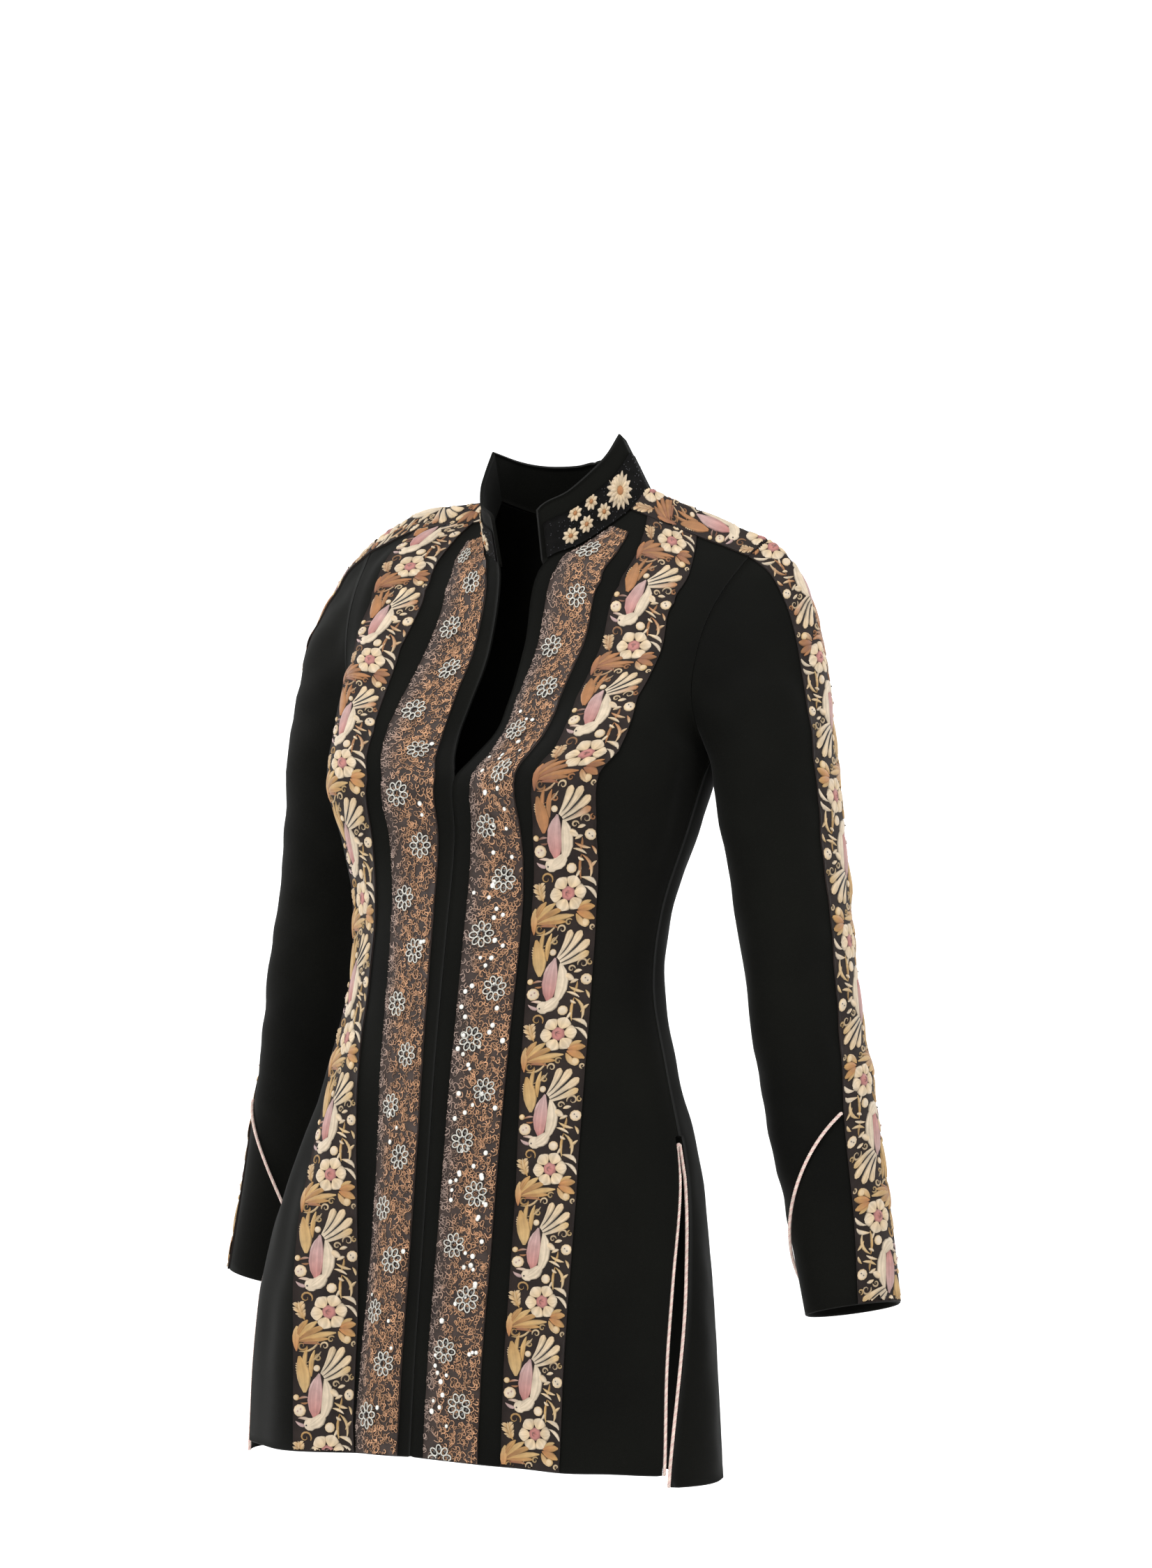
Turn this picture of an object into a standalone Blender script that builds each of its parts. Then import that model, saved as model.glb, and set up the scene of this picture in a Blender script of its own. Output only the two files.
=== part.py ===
"""A fitted velvet tunic jacket, worn shape, hollow. Metres, +Z up, the front faces -Y.

The origin is the middle of the neck at the height of the shoulder-neck points. The wearer's left is +X.
Every piece that a maker cuts is one closed cloth wall. Walls share their seam points, and each
one stops half a seam gap short of them. Bands, patches and piping are made from the points of
the panel that they lie on, moved out.
"""
import math
from collections import namedtuple

import bmesh
import bpy
import numpy as np

# Cloth and trim sizes
VELVET = 0.0020          # wall of the lined velvet
COLLAR_CLOTH = 0.0026    # doubled and interfaced collar
BAND_CLOTH = 0.0012      # ribbons and embroidered bands
PATCH_CLOTH = 0.0010
SEAM_HALF = 0.00018      # each piece stops this far short of a seam
LAY_GAP = 0.0003         # between a band and the velvet below it
BIRD_WIDTH = 0.046
PIPING_RADIUS = 0.0012
PIPING_SIDES = 6

# Heights along the side seam
SHOULDER_Z = -0.045
V_TOP_Z = -0.102         # where the collar meets the front slit
VENT_STEP_Z = -0.478
VENT_TOP_Z = -0.483
VENT_LENS = 0.008        # widest gap between the vent's two edges
VENT_EDGE = 0.0035       # what each vent edge gives up to its piping

# One row of the front or back. The inner end lies on the centre line, the slit or the neckline,
# the outer end on the side seam or armhole. turn is how far the cloth turns between them in
# degrees, and full squares the curve up.
Row = namedtuple("Row", "side_z inner_x inner_y inner_z outer_x outer_y turn full")

FRONT_ROWS = (
    Row(-0.711, 0.0000, -0.2055, -0.704, 0.1785, -0.1470, 70, 0.05),
    Row(-0.650, 0.0000, -0.2000, -0.640, 0.1780, -0.1390, 74, 0.05),
    Row(-0.580, 0.0000, -0.1925, -0.574, 0.1750, -0.1240, 80, 0.05),
    Row(-0.500, 0.0000, -0.1840, -0.496, 0.1655, -0.1060, 87, 0.05),
    Row(-0.430, 0.0000, -0.1765, -0.428, 0.1445, -0.0960, 91, 0.04),
    Row(-0.375, 0.0000, -0.1690, -0.376, 0.1315, -0.0920, 90, 0.03),
    Row(-0.320, 0.0000, -0.1605, -0.322, 0.1330, -0.0840, 90, 0.03),
    Row(-0.260, 0.0000, -0.1510, -0.262, 0.1440, -0.0660, 90, 0.06),
    Row(-0.222, 0.0000, -0.1500, -0.221, 0.1490, -0.0520, 89, 0.07),
    Row(-0.205, 0.0085, -0.1370, -0.206, 0.1500, -0.0430, 88, 0.08),
    Row(-0.190, 0.0155, -0.1210, -0.190, 0.1500, -0.0580, 80, 0.07),
    Row(-0.165, 0.0170, -0.1060, -0.165, 0.1490, -0.0670, 72, 0.05),
    Row(-0.135, 0.0155, -0.0865, -0.122, 0.1505, -0.0640, 60, 0.03),
    Row(-0.102, 0.0200, -0.0690, -0.059, 0.1540, -0.0500, 50, 0.0),
    Row(-0.080, 0.0450, -0.0490, -0.043, 0.1585, -0.0340, 42, 0.0),
    Row(-0.070, 0.0560, -0.0330, -0.030, 0.1610, -0.0245, 36, 0.0),
    Row(-0.058, 0.0632, -0.0160, -0.0165, 0.1645, -0.0125, 28, 0.0),
    Row(-0.045, 0.0670, 0.0000, 0.000, 0.1690, 0.0060, 16, 0.0),
)
BACK_ROWS = (
    Row(-0.719, 0.0000, -0.0320, -0.724, 0.1785, -0.1480, 110, 0.05),
    Row(-0.655, 0.0000, -0.0290, -0.660, 0.1780, -0.1390, 106, 0.05),
    Row(-0.580, 0.0000, -0.0260, -0.582, 0.1750, -0.1240, 100, 0.05),
    Row(-0.500, 0.0000, -0.0240, -0.500, 0.1655, -0.1060, 93, 0.05),
    Row(-0.430, 0.0000, -0.0250, -0.428, 0.1445, -0.0960, 89, 0.04),
    Row(-0.375, 0.0000, -0.0190, -0.372, 0.1315, -0.0920, 90, 0.03),
    Row(-0.320, 0.0000, -0.0080, -0.315, 0.1330, -0.0840, 90, 0.03),
    Row(-0.260, 0.0000, 0.0120, -0.253, 0.1440, -0.0660, 90, 0.03),
    Row(-0.222, 0.0000, 0.0270, -0.213, 0.1490, -0.0520, 90, 0.03),
    Row(-0.205, 0.0000, 0.0340, -0.194, 0.1500, -0.0430, 90, 0.02),
    Row(-0.190, 0.0000, 0.0400, -0.175, 0.1490, -0.0270, 85, 0.02),
    Row(-0.165, 0.0000, 0.0480, -0.140, 0.1480, -0.0060, 78, 0.01),
    Row(-0.125, 0.0000, 0.0590, -0.070, 0.1500, 0.0240, 62, 0.0),
    Row(-0.092, 0.0000, 0.0600, -0.012, 0.1555, 0.0320, 48, 0.0),
    Row(-0.082, 0.0200, 0.0570, -0.0115, 0.1580, 0.0320, 42, 0.0),
    Row(-0.070, 0.0430, 0.0440, -0.009, 0.1615, 0.0300, 34, 0.0),
    Row(-0.057, 0.0605, 0.0230, -0.004, 0.1655, 0.0235, 24, 0.0),
    Row(-0.045, 0.0670, 0.0000, 0.000, 0.1690, 0.0060, 16, 0.0),
)
FRONT_KEEL = 0.75        # below 1 the fronts meet in a soft ridge
BUST_X, BUST_Z, BUST_RADIUS, BUST_OUT = 0.094, -0.208, 0.064, 0.031

# The heights, along the side or armhole, where the walls have points
FRONT_ARM_LEVELS = (-0.045, -0.0515, -0.058, -0.070, -0.085, -0.102, -0.125, -0.145, -0.165, -0.185, -0.205)
BACK_ARM_LEVELS = (-0.045, -0.0510, -0.057, -0.070, -0.082, -0.092, -0.110, -0.135, -0.160, -0.185, -0.205)
SIDE_LEVELS = (-0.222, -0.262, -0.300, -0.340, -0.375, -0.415, -0.450, -0.478, -0.483, -0.530, -0.580,
               -0.630, -0.680)
FRONT_HEM_Z, BACK_HEM_Z = -0.711, -0.719

# Where the ribbon and the bird band start, measured from the front edge. On the wearer's right
# both have their own lines.
BandRow = namedtuple("BandRow", "side_z ribbon ribbon_width bird right_ribbon right_bird")
BAND_ROWS = (
    BandRow(-0.711, 0.0120, 0.0440, 0.0735, 0.0115, 0.0580),
    BandRow(-0.625, 0.0115, 0.0440, 0.0720, 0.0112, 0.0620),
    BandRow(-0.521, 0.0122, 0.0440, 0.0718, 0.0110, 0.0715),
    BandRow(-0.470, 0.0130, 0.0440, 0.0702, 0.0110, 0.0765),
    BandRow(-0.417, 0.0140, 0.0440, 0.0685, 0.0120, 0.0800),
    BandRow(-0.366, 0.0148, 0.0440, 0.0672, 0.0130, 0.0805),
    BandRow(-0.314, 0.0155, 0.0440, 0.0668, 0.0135, 0.0780),
    BandRow(-0.262, 0.0155, 0.0440, 0.0700, 0.0140, 0.0740),
    BandRow(-0.222, 0.0180, 0.0440, 0.0800, 0.0155, 0.0720),
    BandRow(-0.205, 0.0170, 0.0440, 0.0820, 0.0150, 0.0700),
    BandRow(-0.188, 0.0120, 0.0440, 0.0745, 0.0130, 0.0665),
    BandRow(-0.165, 0.0100, 0.0435, 0.0690, 0.0130, 0.0700),
    BandRow(-0.135, 0.0125, 0.0420, 0.0700, 0.0140, 0.0740),
    BandRow(-0.118, 0.0138, 0.0405, 0.0700, 0.0140, 0.0730),
    BandRow(-0.102, 0.0136, 0.0385, 0.0680, 0.0136, 0.0700),
    BandRow(-0.090, 0.0050, 0.0335, 0.0560, 0.0050, 0.0570),
    BandRow(-0.080, 0.0022, 0.0265, 0.0440, 0.0022, 0.0440),
    BandRow(-0.070, 0.0022, 0.0150, 0.0300, 0.0022, 0.0300),
    BandRow(-0.058, 0.0022, 0.0040, 0.0160, 0.0022, 0.0160),
    BandRow(-0.045, 0.0012, 0.0024, 0.0060, 0.0012, 0.0060),
)
OUTER_COLUMNS = 5        # columns of points from the bird band to the side
RIBBON_COLUMNS = (1, 2, 3)
BIRD_COLUMNS = (4, 5, 6)
RIBBON_TOP_ROW = 3       # the ribbon runs out on the neckline at this row
BAND_TOP_ROW = 2         # the shoulder band ends at this row
BACK_EVEN_Z = -0.135     # below this the back's columns are evenly spaced

# Flutes of the skirt: at is a share of the row from the centre line, wide and out are sizes
Flute = namedtuple("Flute", "wearer panel at wide out")
FLUTES = (
    Flute("left", "front", 0.45, 0.020, -0.003),
    Flute("left", "front", 0.63, 0.018, 0.004),
    Flute("left", "front", 0.80, 0.018, -0.003),
    Flute("right", "front", 0.29, 0.020, -0.006),
    Flute("right", "front", 0.57, 0.028, 0.009),
    Flute("left", "back", 0.21, 0.025, 0.004),
    Flute("left", "back", 0.44, 0.022, -0.004),
    Flute("left", "back", 0.66, 0.022, 0.005),
    Flute("right", "back", 0.19, 0.025, 0.005),
    Flute("right", "back", 0.42, 0.022, -0.004),
    Flute("right", "back", 0.64, 0.022, 0.004),
)
FLUTE_TOP_Z, FLUTE_FULL_Z = -0.36, -0.60
EDGE_FADE = 0.030        # flutes and bust fade out over this width, so that seams still meet

# Rings of the sleeve below its cap. down is the share of its length from the first ring, and
# turn is the direction of the outer line, from the front.
Ring = namedtuple("Ring", "down x y z half_width half_depth turn")
ARM_RINGS = (
    Ring(0.00, 0.1950, -0.0230, -0.235, 0.0435, 0.0520, 100),
    Ring(0.15, 0.2035, -0.0245, -0.290, 0.0413, 0.0492, 101),
    Ring(0.315, 0.2135, -0.0280, -0.350, 0.0392, 0.0460, 104),
    Ring(0.49, 0.2240, -0.0290, -0.415, 0.0385, 0.0441, 100),
    Ring(0.67, 0.2368, -0.0290, -0.480, 0.0370, 0.0415, 90),
    Ring(0.84, 0.2500, -0.0310, -0.542, 0.0345, 0.0386, 84),
    Ring(1.00, 0.2630, -0.0355, -0.600, 0.0315, 0.0362, 75),
)
SLEEVE_LENGTH = 0.372    # from the first ring to the cuff hem
CUFF_POINT = 0.145       # height of the cuff's point on the outer line
CUFF_LOW = 0.014         # height of the cuff at the underarm seam
CUFF_SWEEP = 1.4         # how soon the cuff seam falls away from its point
CAP_ROWS, ARM_ROWS, CUFF_ROWS = 4, 7, 3
CAP_REACH, CAP_DROP = 0.27, 0.42

# The wearer's right shoulder is carried a little higher and further forward than the left
RIGHT_SHOULDER = (0.010, -0.012, 0.023)
RIGHT_START_X, RIGHT_WIDE = 0.052, 0.090
RIGHT_LOW_Z, RIGHT_TALL = -0.270, 0.170
# and the wearer's right side of the skirt stands out further
RIGHT_SKIRT, RIGHT_SKIRT_HEM = 0.021, 0.014

# The stand collar
COLLAR_HEIGHT_FRONT, COLLAR_HEIGHT_BACK = 0.040, 0.042
COLLAR_LEAN = 0.33       # inward lean as a share of the height
COLLAR_LEAN_RIGHT = 0.05  # it stands nearly upright on the wearer's right
COLLAR_RIGHT_SHARE = 0.85  # and is a little lower there
COLLAR_AHEAD = 0.36      # forward lean of the whole collar, with the neck
COLLAR_ROWS = 3
PATCH_COLUMNS = (0, 6)
PATCH_EDGE = 0.006       # between the collar's front edge and its patch
PATCH_ROWS = (0, 2)

# name, colour, roughness
LOOKS = {
    "velvet": ((0.012, 0.012, 0.014, 1), 0.95),
    "ribbon": ((0.26, 0.15, 0.10, 1), 0.55),
    "band": ((0.42, 0.30, 0.18, 1), 0.75),
    "patch": ((0.05, 0.045, 0.045, 1), 0.60),
    "piping": ((0.62, 0.45, 0.42, 1), 0.60),
}


def smooth_table(rows, key, at):
    """The rows' columns at one value of the key column, on a smooth curve through them."""
    keys = [getattr(r, key) for r in rows]
    values = np.array(rows, float)
    slopes = np.gradient(values, keys, axis=0)
    at = min(max(at, keys[0]), keys[-1])
    i = min(int(np.searchsorted(keys, at, side="right")) - 1, len(keys) - 2)
    step = keys[i + 1] - keys[i]
    t = (at - keys[i]) / step
    start, end = values[i], values[i + 1]
    leave, arrive = slopes[i] * step, slopes[i + 1] * step
    mixed = ((2 * t**3 - 3 * t**2 + 1) * start + (t**3 - 2 * t**2 + t) * leave
             + (3 * t**2 - 2 * t**3) * end + (t**3 - t**2) * arrive)
    return type(rows[0])(*mixed)


def straight_table(rows, key, at):
    """The rows' columns at one value of the key column, on straight lines between them."""
    keys = [getattr(r, key) for r in rows]
    return type(rows[0])(*(np.interp(at, keys, column) for column in zip(*rows)))


def run_along(points):
    """Distance of each point from the first, along the points."""
    return np.concatenate([[0], np.cumsum(np.linalg.norm(np.diff(points, axis=0), axis=1))])


def row_points(row, shares):
    """Points along one row, from its inner end (0) to its outer end (1)."""
    turn = math.radians(row.turn)
    shares = np.asarray(shares, float)
    angle = shares * turn
    across = np.sin(angle) / math.sin(turn)
    deep = (np.cos(angle) - math.cos(turn)) / (1 - math.cos(turn))
    ahead = 1 if row.inner_y < row.outer_y else -1
    if ahead > 0:
        deep = 1 - np.maximum(1 - deep, 0) ** FRONT_KEEL
    push = row.full * 0.15 * np.sin(math.pi * shares) ** 2
    return np.stack([
        row.inner_x + (row.outer_x - row.inner_x) * across + push * np.sin(angle),
        row.outer_y + (row.inner_y - row.outer_y) * deep - ahead * push * np.cos(angle),
        row.inner_z + (row.side_z - row.inner_z) * np.minimum(across, 1.0),
    ], axis=-1)


def smooth_step(value):
    t = np.clip(value, 0.0, 1.0)
    return t * t * (3 - 2 * t)


def with_bust(points):
    """The front's darts and fullness, as a soft push forward."""
    run = run_along(points)
    away = (points[:, 0] - BUST_X) ** 2 + (points[:, 2] - BUST_Z) ** 2
    push = BUST_OUT * np.maximum(np.exp(-away / BUST_RADIUS**2) - 0.01, 0)
    push *= smooth_step((run[-1] - run) / EDGE_FADE)
    return points + np.stack([0.25 * push * (points[:, 0] > 0.05), -push, 0 * push], axis=-1)


def with_flutes(points, panel, side_z, wearer):
    """Skirt flutes pushed in or out, square to the row."""
    grow = smooth_step((FLUTE_TOP_Z - side_z) / (FLUTE_TOP_Z - FLUTE_FULL_Z))
    if grow == 0:
        return points
    run = run_along(points)
    along = np.gradient(points[:, :2], axis=0)
    along /= np.linalg.norm(along, axis=1)[:, None]
    ahead = 1 if panel == "front" else -1
    out = np.stack([ahead * along[:, 1], -ahead * along[:, 0]], axis=-1)
    push = sum(f.out * np.exp(-(((run - f.at * run[-1]) / f.wide) ** 2))
               for f in FLUTES if f.wearer == wearer and f.panel == panel)
    fade = smooth_step(run / EDGE_FADE) * smooth_step((run[-1] - run) / EDGE_FADE)
    moved = points.copy()
    moved[:, :2] += out * (push * grow * fade)[:, None]
    return moved


def fine_row(panel, side_z, wearer):
    """Many points along a row of the wearer's left side; the right side is mirrored later."""
    row = smooth_table(FRONT_ROWS if panel == "front" else BACK_ROWS, "side_z", side_z)
    row = row._replace(inner_x=max(row.inner_x, 0.0))
    points = row_points(row, np.linspace(0, 1, 161))
    if panel == "front":
        points = with_bust(points)
    return with_flutes(points, panel, side_z, wearer)


def at_distances(points, distances):
    """The points at these distances along a row."""
    run = run_along(points)
    return np.stack([np.interp(distances, run, points[:, k]) for k in range(3)], axis=-1)


def vent_inset(side_z):
    """How far a side edge stops short of the side line, for the vent and its piping."""
    if side_z > VENT_STEP_Z - 1e-6:
        return 0.0
    share = (VENT_TOP_Z - side_z) / (VENT_TOP_Z - FRONT_HEM_Z)
    return VENT_EDGE + 0.5 * VENT_LENS * math.sin(math.pi * min(max(share, 0.0), 1.0)) ** 1.5


def front_distances(side_z, length, wearer):
    """Distances of the front's columns from its inner end."""
    band = straight_table(BAND_ROWS, "side_z", side_z)
    ribbon, bird = (band.ribbon, band.bird) if wearer == "left" else (band.right_ribbon, band.right_bird)
    inner = [0, ribbon, ribbon + band.ribbon_width / 2, ribbon + band.ribbon_width,
             bird, bird + BIRD_WIDTH / 2, bird + BIRD_WIDTH]
    end = length - vent_inset(side_z)
    return np.array(inner + list(np.linspace(inner[-1], end, OUTER_COLUMNS + 1)[1:]))


def back_distances(side_z, length, shoulder_shares):
    """The back's columns match the front's on the shoulder and are even lower down."""
    even = np.linspace(0, 1, len(shoulder_shares))
    blend = smooth_step((SHOULDER_Z - side_z) / (SHOULDER_Z - BACK_EVEN_Z))
    shares = shoulder_shares + (even - shoulder_shares) * blend
    return shares * (length - vent_inset(side_z))


def panel_grid(panel, wearer):
    """Rows of points from the shoulder down, columns from the centre out."""
    top = FRONT_ARM_LEVELS if panel == "front" else BACK_ARM_LEVELS
    hem = FRONT_HEM_Z if panel == "front" else BACK_HEM_Z
    shoulder = fine_row("front", SHOULDER_Z, wearer)
    shoulder_length = run_along(shoulder)[-1]
    shares = front_distances(SHOULDER_Z, shoulder_length, wearer) / shoulder_length
    grid = []
    for side_z in top + SIDE_LEVELS + (hem,):
        points = fine_row(panel, side_z, wearer)
        length = run_along(points)[-1]
        if panel == "front":
            distances = front_distances(side_z, length, wearer)
        else:
            distances = back_distances(side_z, length, shares)
        grid.append(at_distances(points, distances))
    return np.array(grid)


def arm_frame(down):
    ring = smooth_table(ARM_RINGS, "down", down)
    before = smooth_table(ARM_RINGS, "down", max(0, down - 0.02))
    after = smooth_table(ARM_RINGS, "down", min(1, down + 0.02))
    axis = np.array([after.x - before.x, after.y - before.y, after.z - before.z])
    axis /= np.linalg.norm(axis)
    turn = math.radians(ring.turn)
    outer = np.array([math.sin(turn), -math.cos(turn), 0.0])
    outer -= axis * (outer @ axis)
    outer /= np.linalg.norm(outer)
    return ring, axis, outer, np.cross(axis, outer)


def arm_point(down, angle):
    """angle 0 is the outer line, 90 the front, 180 the underarm seam and 270 the back."""
    ring, _, outer, front = arm_frame(down)
    a = math.radians(angle)
    centre = np.array([ring.x, ring.y, ring.z])
    return centre + outer * ring.half_width * math.cos(a) + front * ring.half_depth * math.sin(a)


def cap_point(share, angle, start):
    """From an armhole point (0) to the first ring of the arm (1)."""
    end = arm_point(0, angle)
    axis = arm_frame(0)[1]
    top = math.cos(math.radians(angle) / 2) ** 2
    leave = top * np.array([0.88, 0, -0.47]) + (1 - top) * np.array([0.45, 0, -0.90])
    leave /= np.linalg.norm(leave)
    gap = np.linalg.norm(end - start)
    near, far = start + leave * gap * CAP_REACH, end - axis * gap * CAP_DROP
    t = share
    return (1 - t) ** 3 * start + 3 * (1 - t) ** 2 * t * near + 3 * (1 - t) * t**2 * far + t**3 * end


def cuff_height(angle):
    """Height of the cuff seam above the cuff hem, falling from its point to the underarm."""
    fall = abs(math.cos(math.radians(angle) / 2)) ** CUFF_SWEEP
    return CUFF_LOW + (CUFF_POINT - CUFF_LOW) * fall


def sleeve_angles(armhole, half, down):
    """Angles of the sleeve's columns. The first three keep the band's width along the arm."""
    run = run_along(armhole)
    shares = run / run[-1]
    ring = arm_frame(down)[0]
    edge = 0.5 * BIRD_WIDTH / (0.5 * (ring.half_width + ring.half_depth))
    edge_share = math.degrees(edge) / 180
    inside = shares <= shares[BAND_TOP_ROW]
    stretched = np.where(
        inside, shares * edge_share / shares[BAND_TOP_ROW],
        edge_share + (shares - shares[BAND_TOP_ROW]) * (1 - edge_share) / (1 - shares[BAND_TOP_ROW]))
    angles = 180 * stretched
    return angles if half == "front" else 360 - angles


def sleeve_grid(armhole, half):
    """Rows from the armhole down to the cuff seam, columns from the outer line to the underarm."""
    rows = []
    for i in range(CAP_ROWS):
        angles = sleeve_angles(armhole, half, 0)
        rows.append([cap_point(i / CAP_ROWS, a, p) for a, p in zip(angles, armhole)])
    for i in range(ARM_ROWS + 1):
        share = i / ARM_ROWS
        low = 1 - cuff_height(90) / SLEEVE_LENGTH
        angles = sleeve_angles(armhole, half, share * low)
        rows.append([arm_point(share * (1 - cuff_height(a) / SLEEVE_LENGTH), a) for a in angles])
    return np.array(rows)


def cuff_grid(armhole, half):
    """Rows from the cuff seam down to the hem."""
    rows = []
    for i in range(CUFF_ROWS + 1):
        share = i / CUFF_ROWS
        angles = sleeve_angles(armhole, half, 1 - cuff_height(90) / SLEEVE_LENGTH)
        rows.append([arm_point(1 - (1 - share) * cuff_height(a) / SLEEVE_LENGTH, a) for a in angles])
    return np.array(rows)


def neckline(front, back):
    """Half the neck seam, from the slit over the shoulder-neck point to the centre back."""
    v_row = FRONT_ARM_LEVELS.index(V_TOP_Z)
    back_row = BACK_ARM_LEVELS.index(-0.092)
    return np.concatenate([front[:v_row + 1, 0][::-1], back[1:back_row + 1, 0]])


def collar_grid(left_seam, right_seam):
    """Rows up from the neck seam, columns from the left slit edge round the back to the right."""
    seam = np.concatenate([left_seam, right_seam[::-1][1:]])
    run = run_along(seam)
    middle = seam.mean(axis=0)
    rows = []
    for i in range(COLLAR_ROWS + 1):
        share = i / COLLAR_ROWS
        row = []
        for point, s in zip(seam, run / run[-1]):
            back_share = math.sin(math.pi * s)
            height = COLLAR_HEIGHT_FRONT + (COLLAR_HEIGHT_BACK - COLLAR_HEIGHT_FRONT) * back_share
            to_right = smooth_step((s - 0.45) / 0.25)
            height *= 1 + (COLLAR_RIGHT_SHARE - 1) * to_right
            lean = COLLAR_LEAN + (COLLAR_LEAN_RIGHT - COLLAR_LEAN) * to_right
            inward = middle[:2] - point[:2]
            inward /= np.linalg.norm(inward)
            row.append(point + share * height * np.array([
                inward[0] * lean, inward[1] * lean - COLLAR_AHEAD, 1.0]))
        rows.append(row)
    return np.array(rows)


def mirrored(grid):
    """The wearer's right side, with its shoulder carried higher."""
    grow = smooth_step((grid[..., 0] - RIGHT_START_X) / RIGHT_WIDE)
    grow = grow * smooth_step((grid[..., 2] - RIGHT_LOW_Z) / RIGHT_TALL)
    raised = grid + grow[..., None] * np.array(RIGHT_SHOULDER)
    z = grid[..., 2]
    stand = np.interp(-z, (0.46, 0.50, 0.55, 0.60, 0.73),
                      (0, 0.3 * RIGHT_SKIRT, 0.8 * RIGHT_SKIRT, RIGHT_SKIRT, RIGHT_SKIRT_HEM))
    in_skirt = (grid[..., 0] < 0.19) | (z < -0.63)
    raised[..., 0] += np.where(in_skirt, stand * smooth_step((grid[..., 0] - 0.06) / 0.11), 0)
    return raised * np.array([-1, 1, 1])


def grid_faces(shape, closed):
    """Cells of a grid as index quads: here, below, below next, next."""
    rows, columns = shape
    last = columns if closed else columns - 1
    for i in range(rows - 1):
        for j in range(last):
            k = (j + 1) % columns
            yield i * columns + j, (i + 1) * columns + j, (i + 1) * columns + k, i * columns + k


def turned_out(grid, outward):
    """The grid with its columns ordered so that its faces point outward."""
    a = grid[1:, :-1] - grid[:-1, :-1]
    b = grid[:-1, 1:] - grid[:-1, :-1]
    normal = np.cross(a, b)
    side = np.sum(normal * outward(grid[:-1, :-1]))
    return grid if side > 0 else grid[:, ::-1]


def shared_normals(grids):
    """Outward normals that neighbours share: a lookup from a rounded point to its normal.

    Each piece counts once at a point, whatever the size of its cells.
    """
    total = {}
    for grid in grids:
        flat = grid.reshape(-1, 3)
        own = np.zeros_like(flat)
        for a, b, c, d in grid_faces(grid.shape[:2], False):
            normal = np.cross(flat[c] - flat[a], flat[d] - flat[b])
            for k in (a, b, c, d):
                own[k] += normal
        for point, normal in zip(flat, own):
            key = tuple(np.round(point, 5))
            total[key] = total.get(key, 0) + normal / np.linalg.norm(normal)
    return {k: v / np.linalg.norm(v) for k, v in total.items()}


def normals_of(grid, lookup):
    return np.array([[lookup[tuple(np.round(p, 5))] for p in row] for row in grid])


def drawn_in(grid, edges, amount):
    """The named edges of a grid moved towards their neighbours, by the amount."""
    grid = grid.copy()
    for edge in edges:
        view = {"first": grid, "last": grid[::-1], "left": grid.transpose(1, 0, 2),
                "right": grid.transpose(1, 0, 2)[::-1]}[edge]
        step = view[1] - view[0]
        view[0] += step / np.linalg.norm(step, axis=-1)[:, None] * amount
    return grid


def material(look):
    made = bpy.data.materials.get(look)
    if made is None:
        made = bpy.data.materials.new(look)
        made.use_nodes = True
        shader = made.node_tree.nodes["Principled BSDF"]
        colour, roughness = LOOKS[look]
        shader.inputs["Base Color"].default_value = colour
        shader.inputs["Roughness"].default_value = roughness
        shader.inputs["Metallic"].default_value = 0.0
    return made


def add_piece(name, vertices, triangles, look):
    mesh = bpy.data.meshes.new(name)
    mesh.from_pydata([tuple(v) for v in vertices], [], [tuple(t) for t in triangles])
    work = bmesh.new()
    work.from_mesh(mesh)
    bmesh.ops.recalc_face_normals(work, faces=work.faces[:])
    work.to_mesh(mesh)
    work.free()
    piece = bpy.data.objects.new(name, mesh)
    bpy.context.scene.collection.objects.link(piece)
    mesh.materials.append(material(look))
    mesh.shade_smooth()
    mesh.set_sharp_from_angle(angle=math.radians(40))
    return piece


def cloth_wall(name, grid, normals, thickness, look, lift=0.0, closed=False):
    """A closed wall: the grid's points lifted, and the same points a thickness further in."""
    rows, columns = grid.shape[:2]
    outer = (grid + normals * lift).reshape(-1, 3)
    inner = (grid + normals * (lift - thickness)).reshape(-1, 3)
    flat_normals = normals.reshape(-1, 3)
    count = rows * columns
    triangles = []
    for a, b, c, d in grid_faces((rows, columns), closed):
        bulge = np.dot(outer[a] + outer[c] - outer[b] - outer[d], flat_normals[a])
        split = ((a, b, c), (a, c, d)) if bulge > 0 else ((a, b, d), (b, c, d))
        for t in split:
            triangles.append(t)
            triangles.append(tuple(v + count for v in reversed(t)))
    borders = []
    last = columns if closed else columns - 1
    for j in range(last):
        k = (j + 1) % columns
        borders.append((k, j))
        borders.append(((rows - 1) * columns + j, (rows - 1) * columns + k))
    if not closed:
        for i in range(rows - 1):
            borders.append((i * columns, (i + 1) * columns))
            borders.append(((i + 2) * columns - 1, (i + 1) * columns - 1))
    for a, b in borders:
        triangles.append((b, a, a + count))
        triangles.append((b, a + count, b + count))
    return add_piece(name, np.concatenate([outer, inner]), triangles, look)


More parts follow.
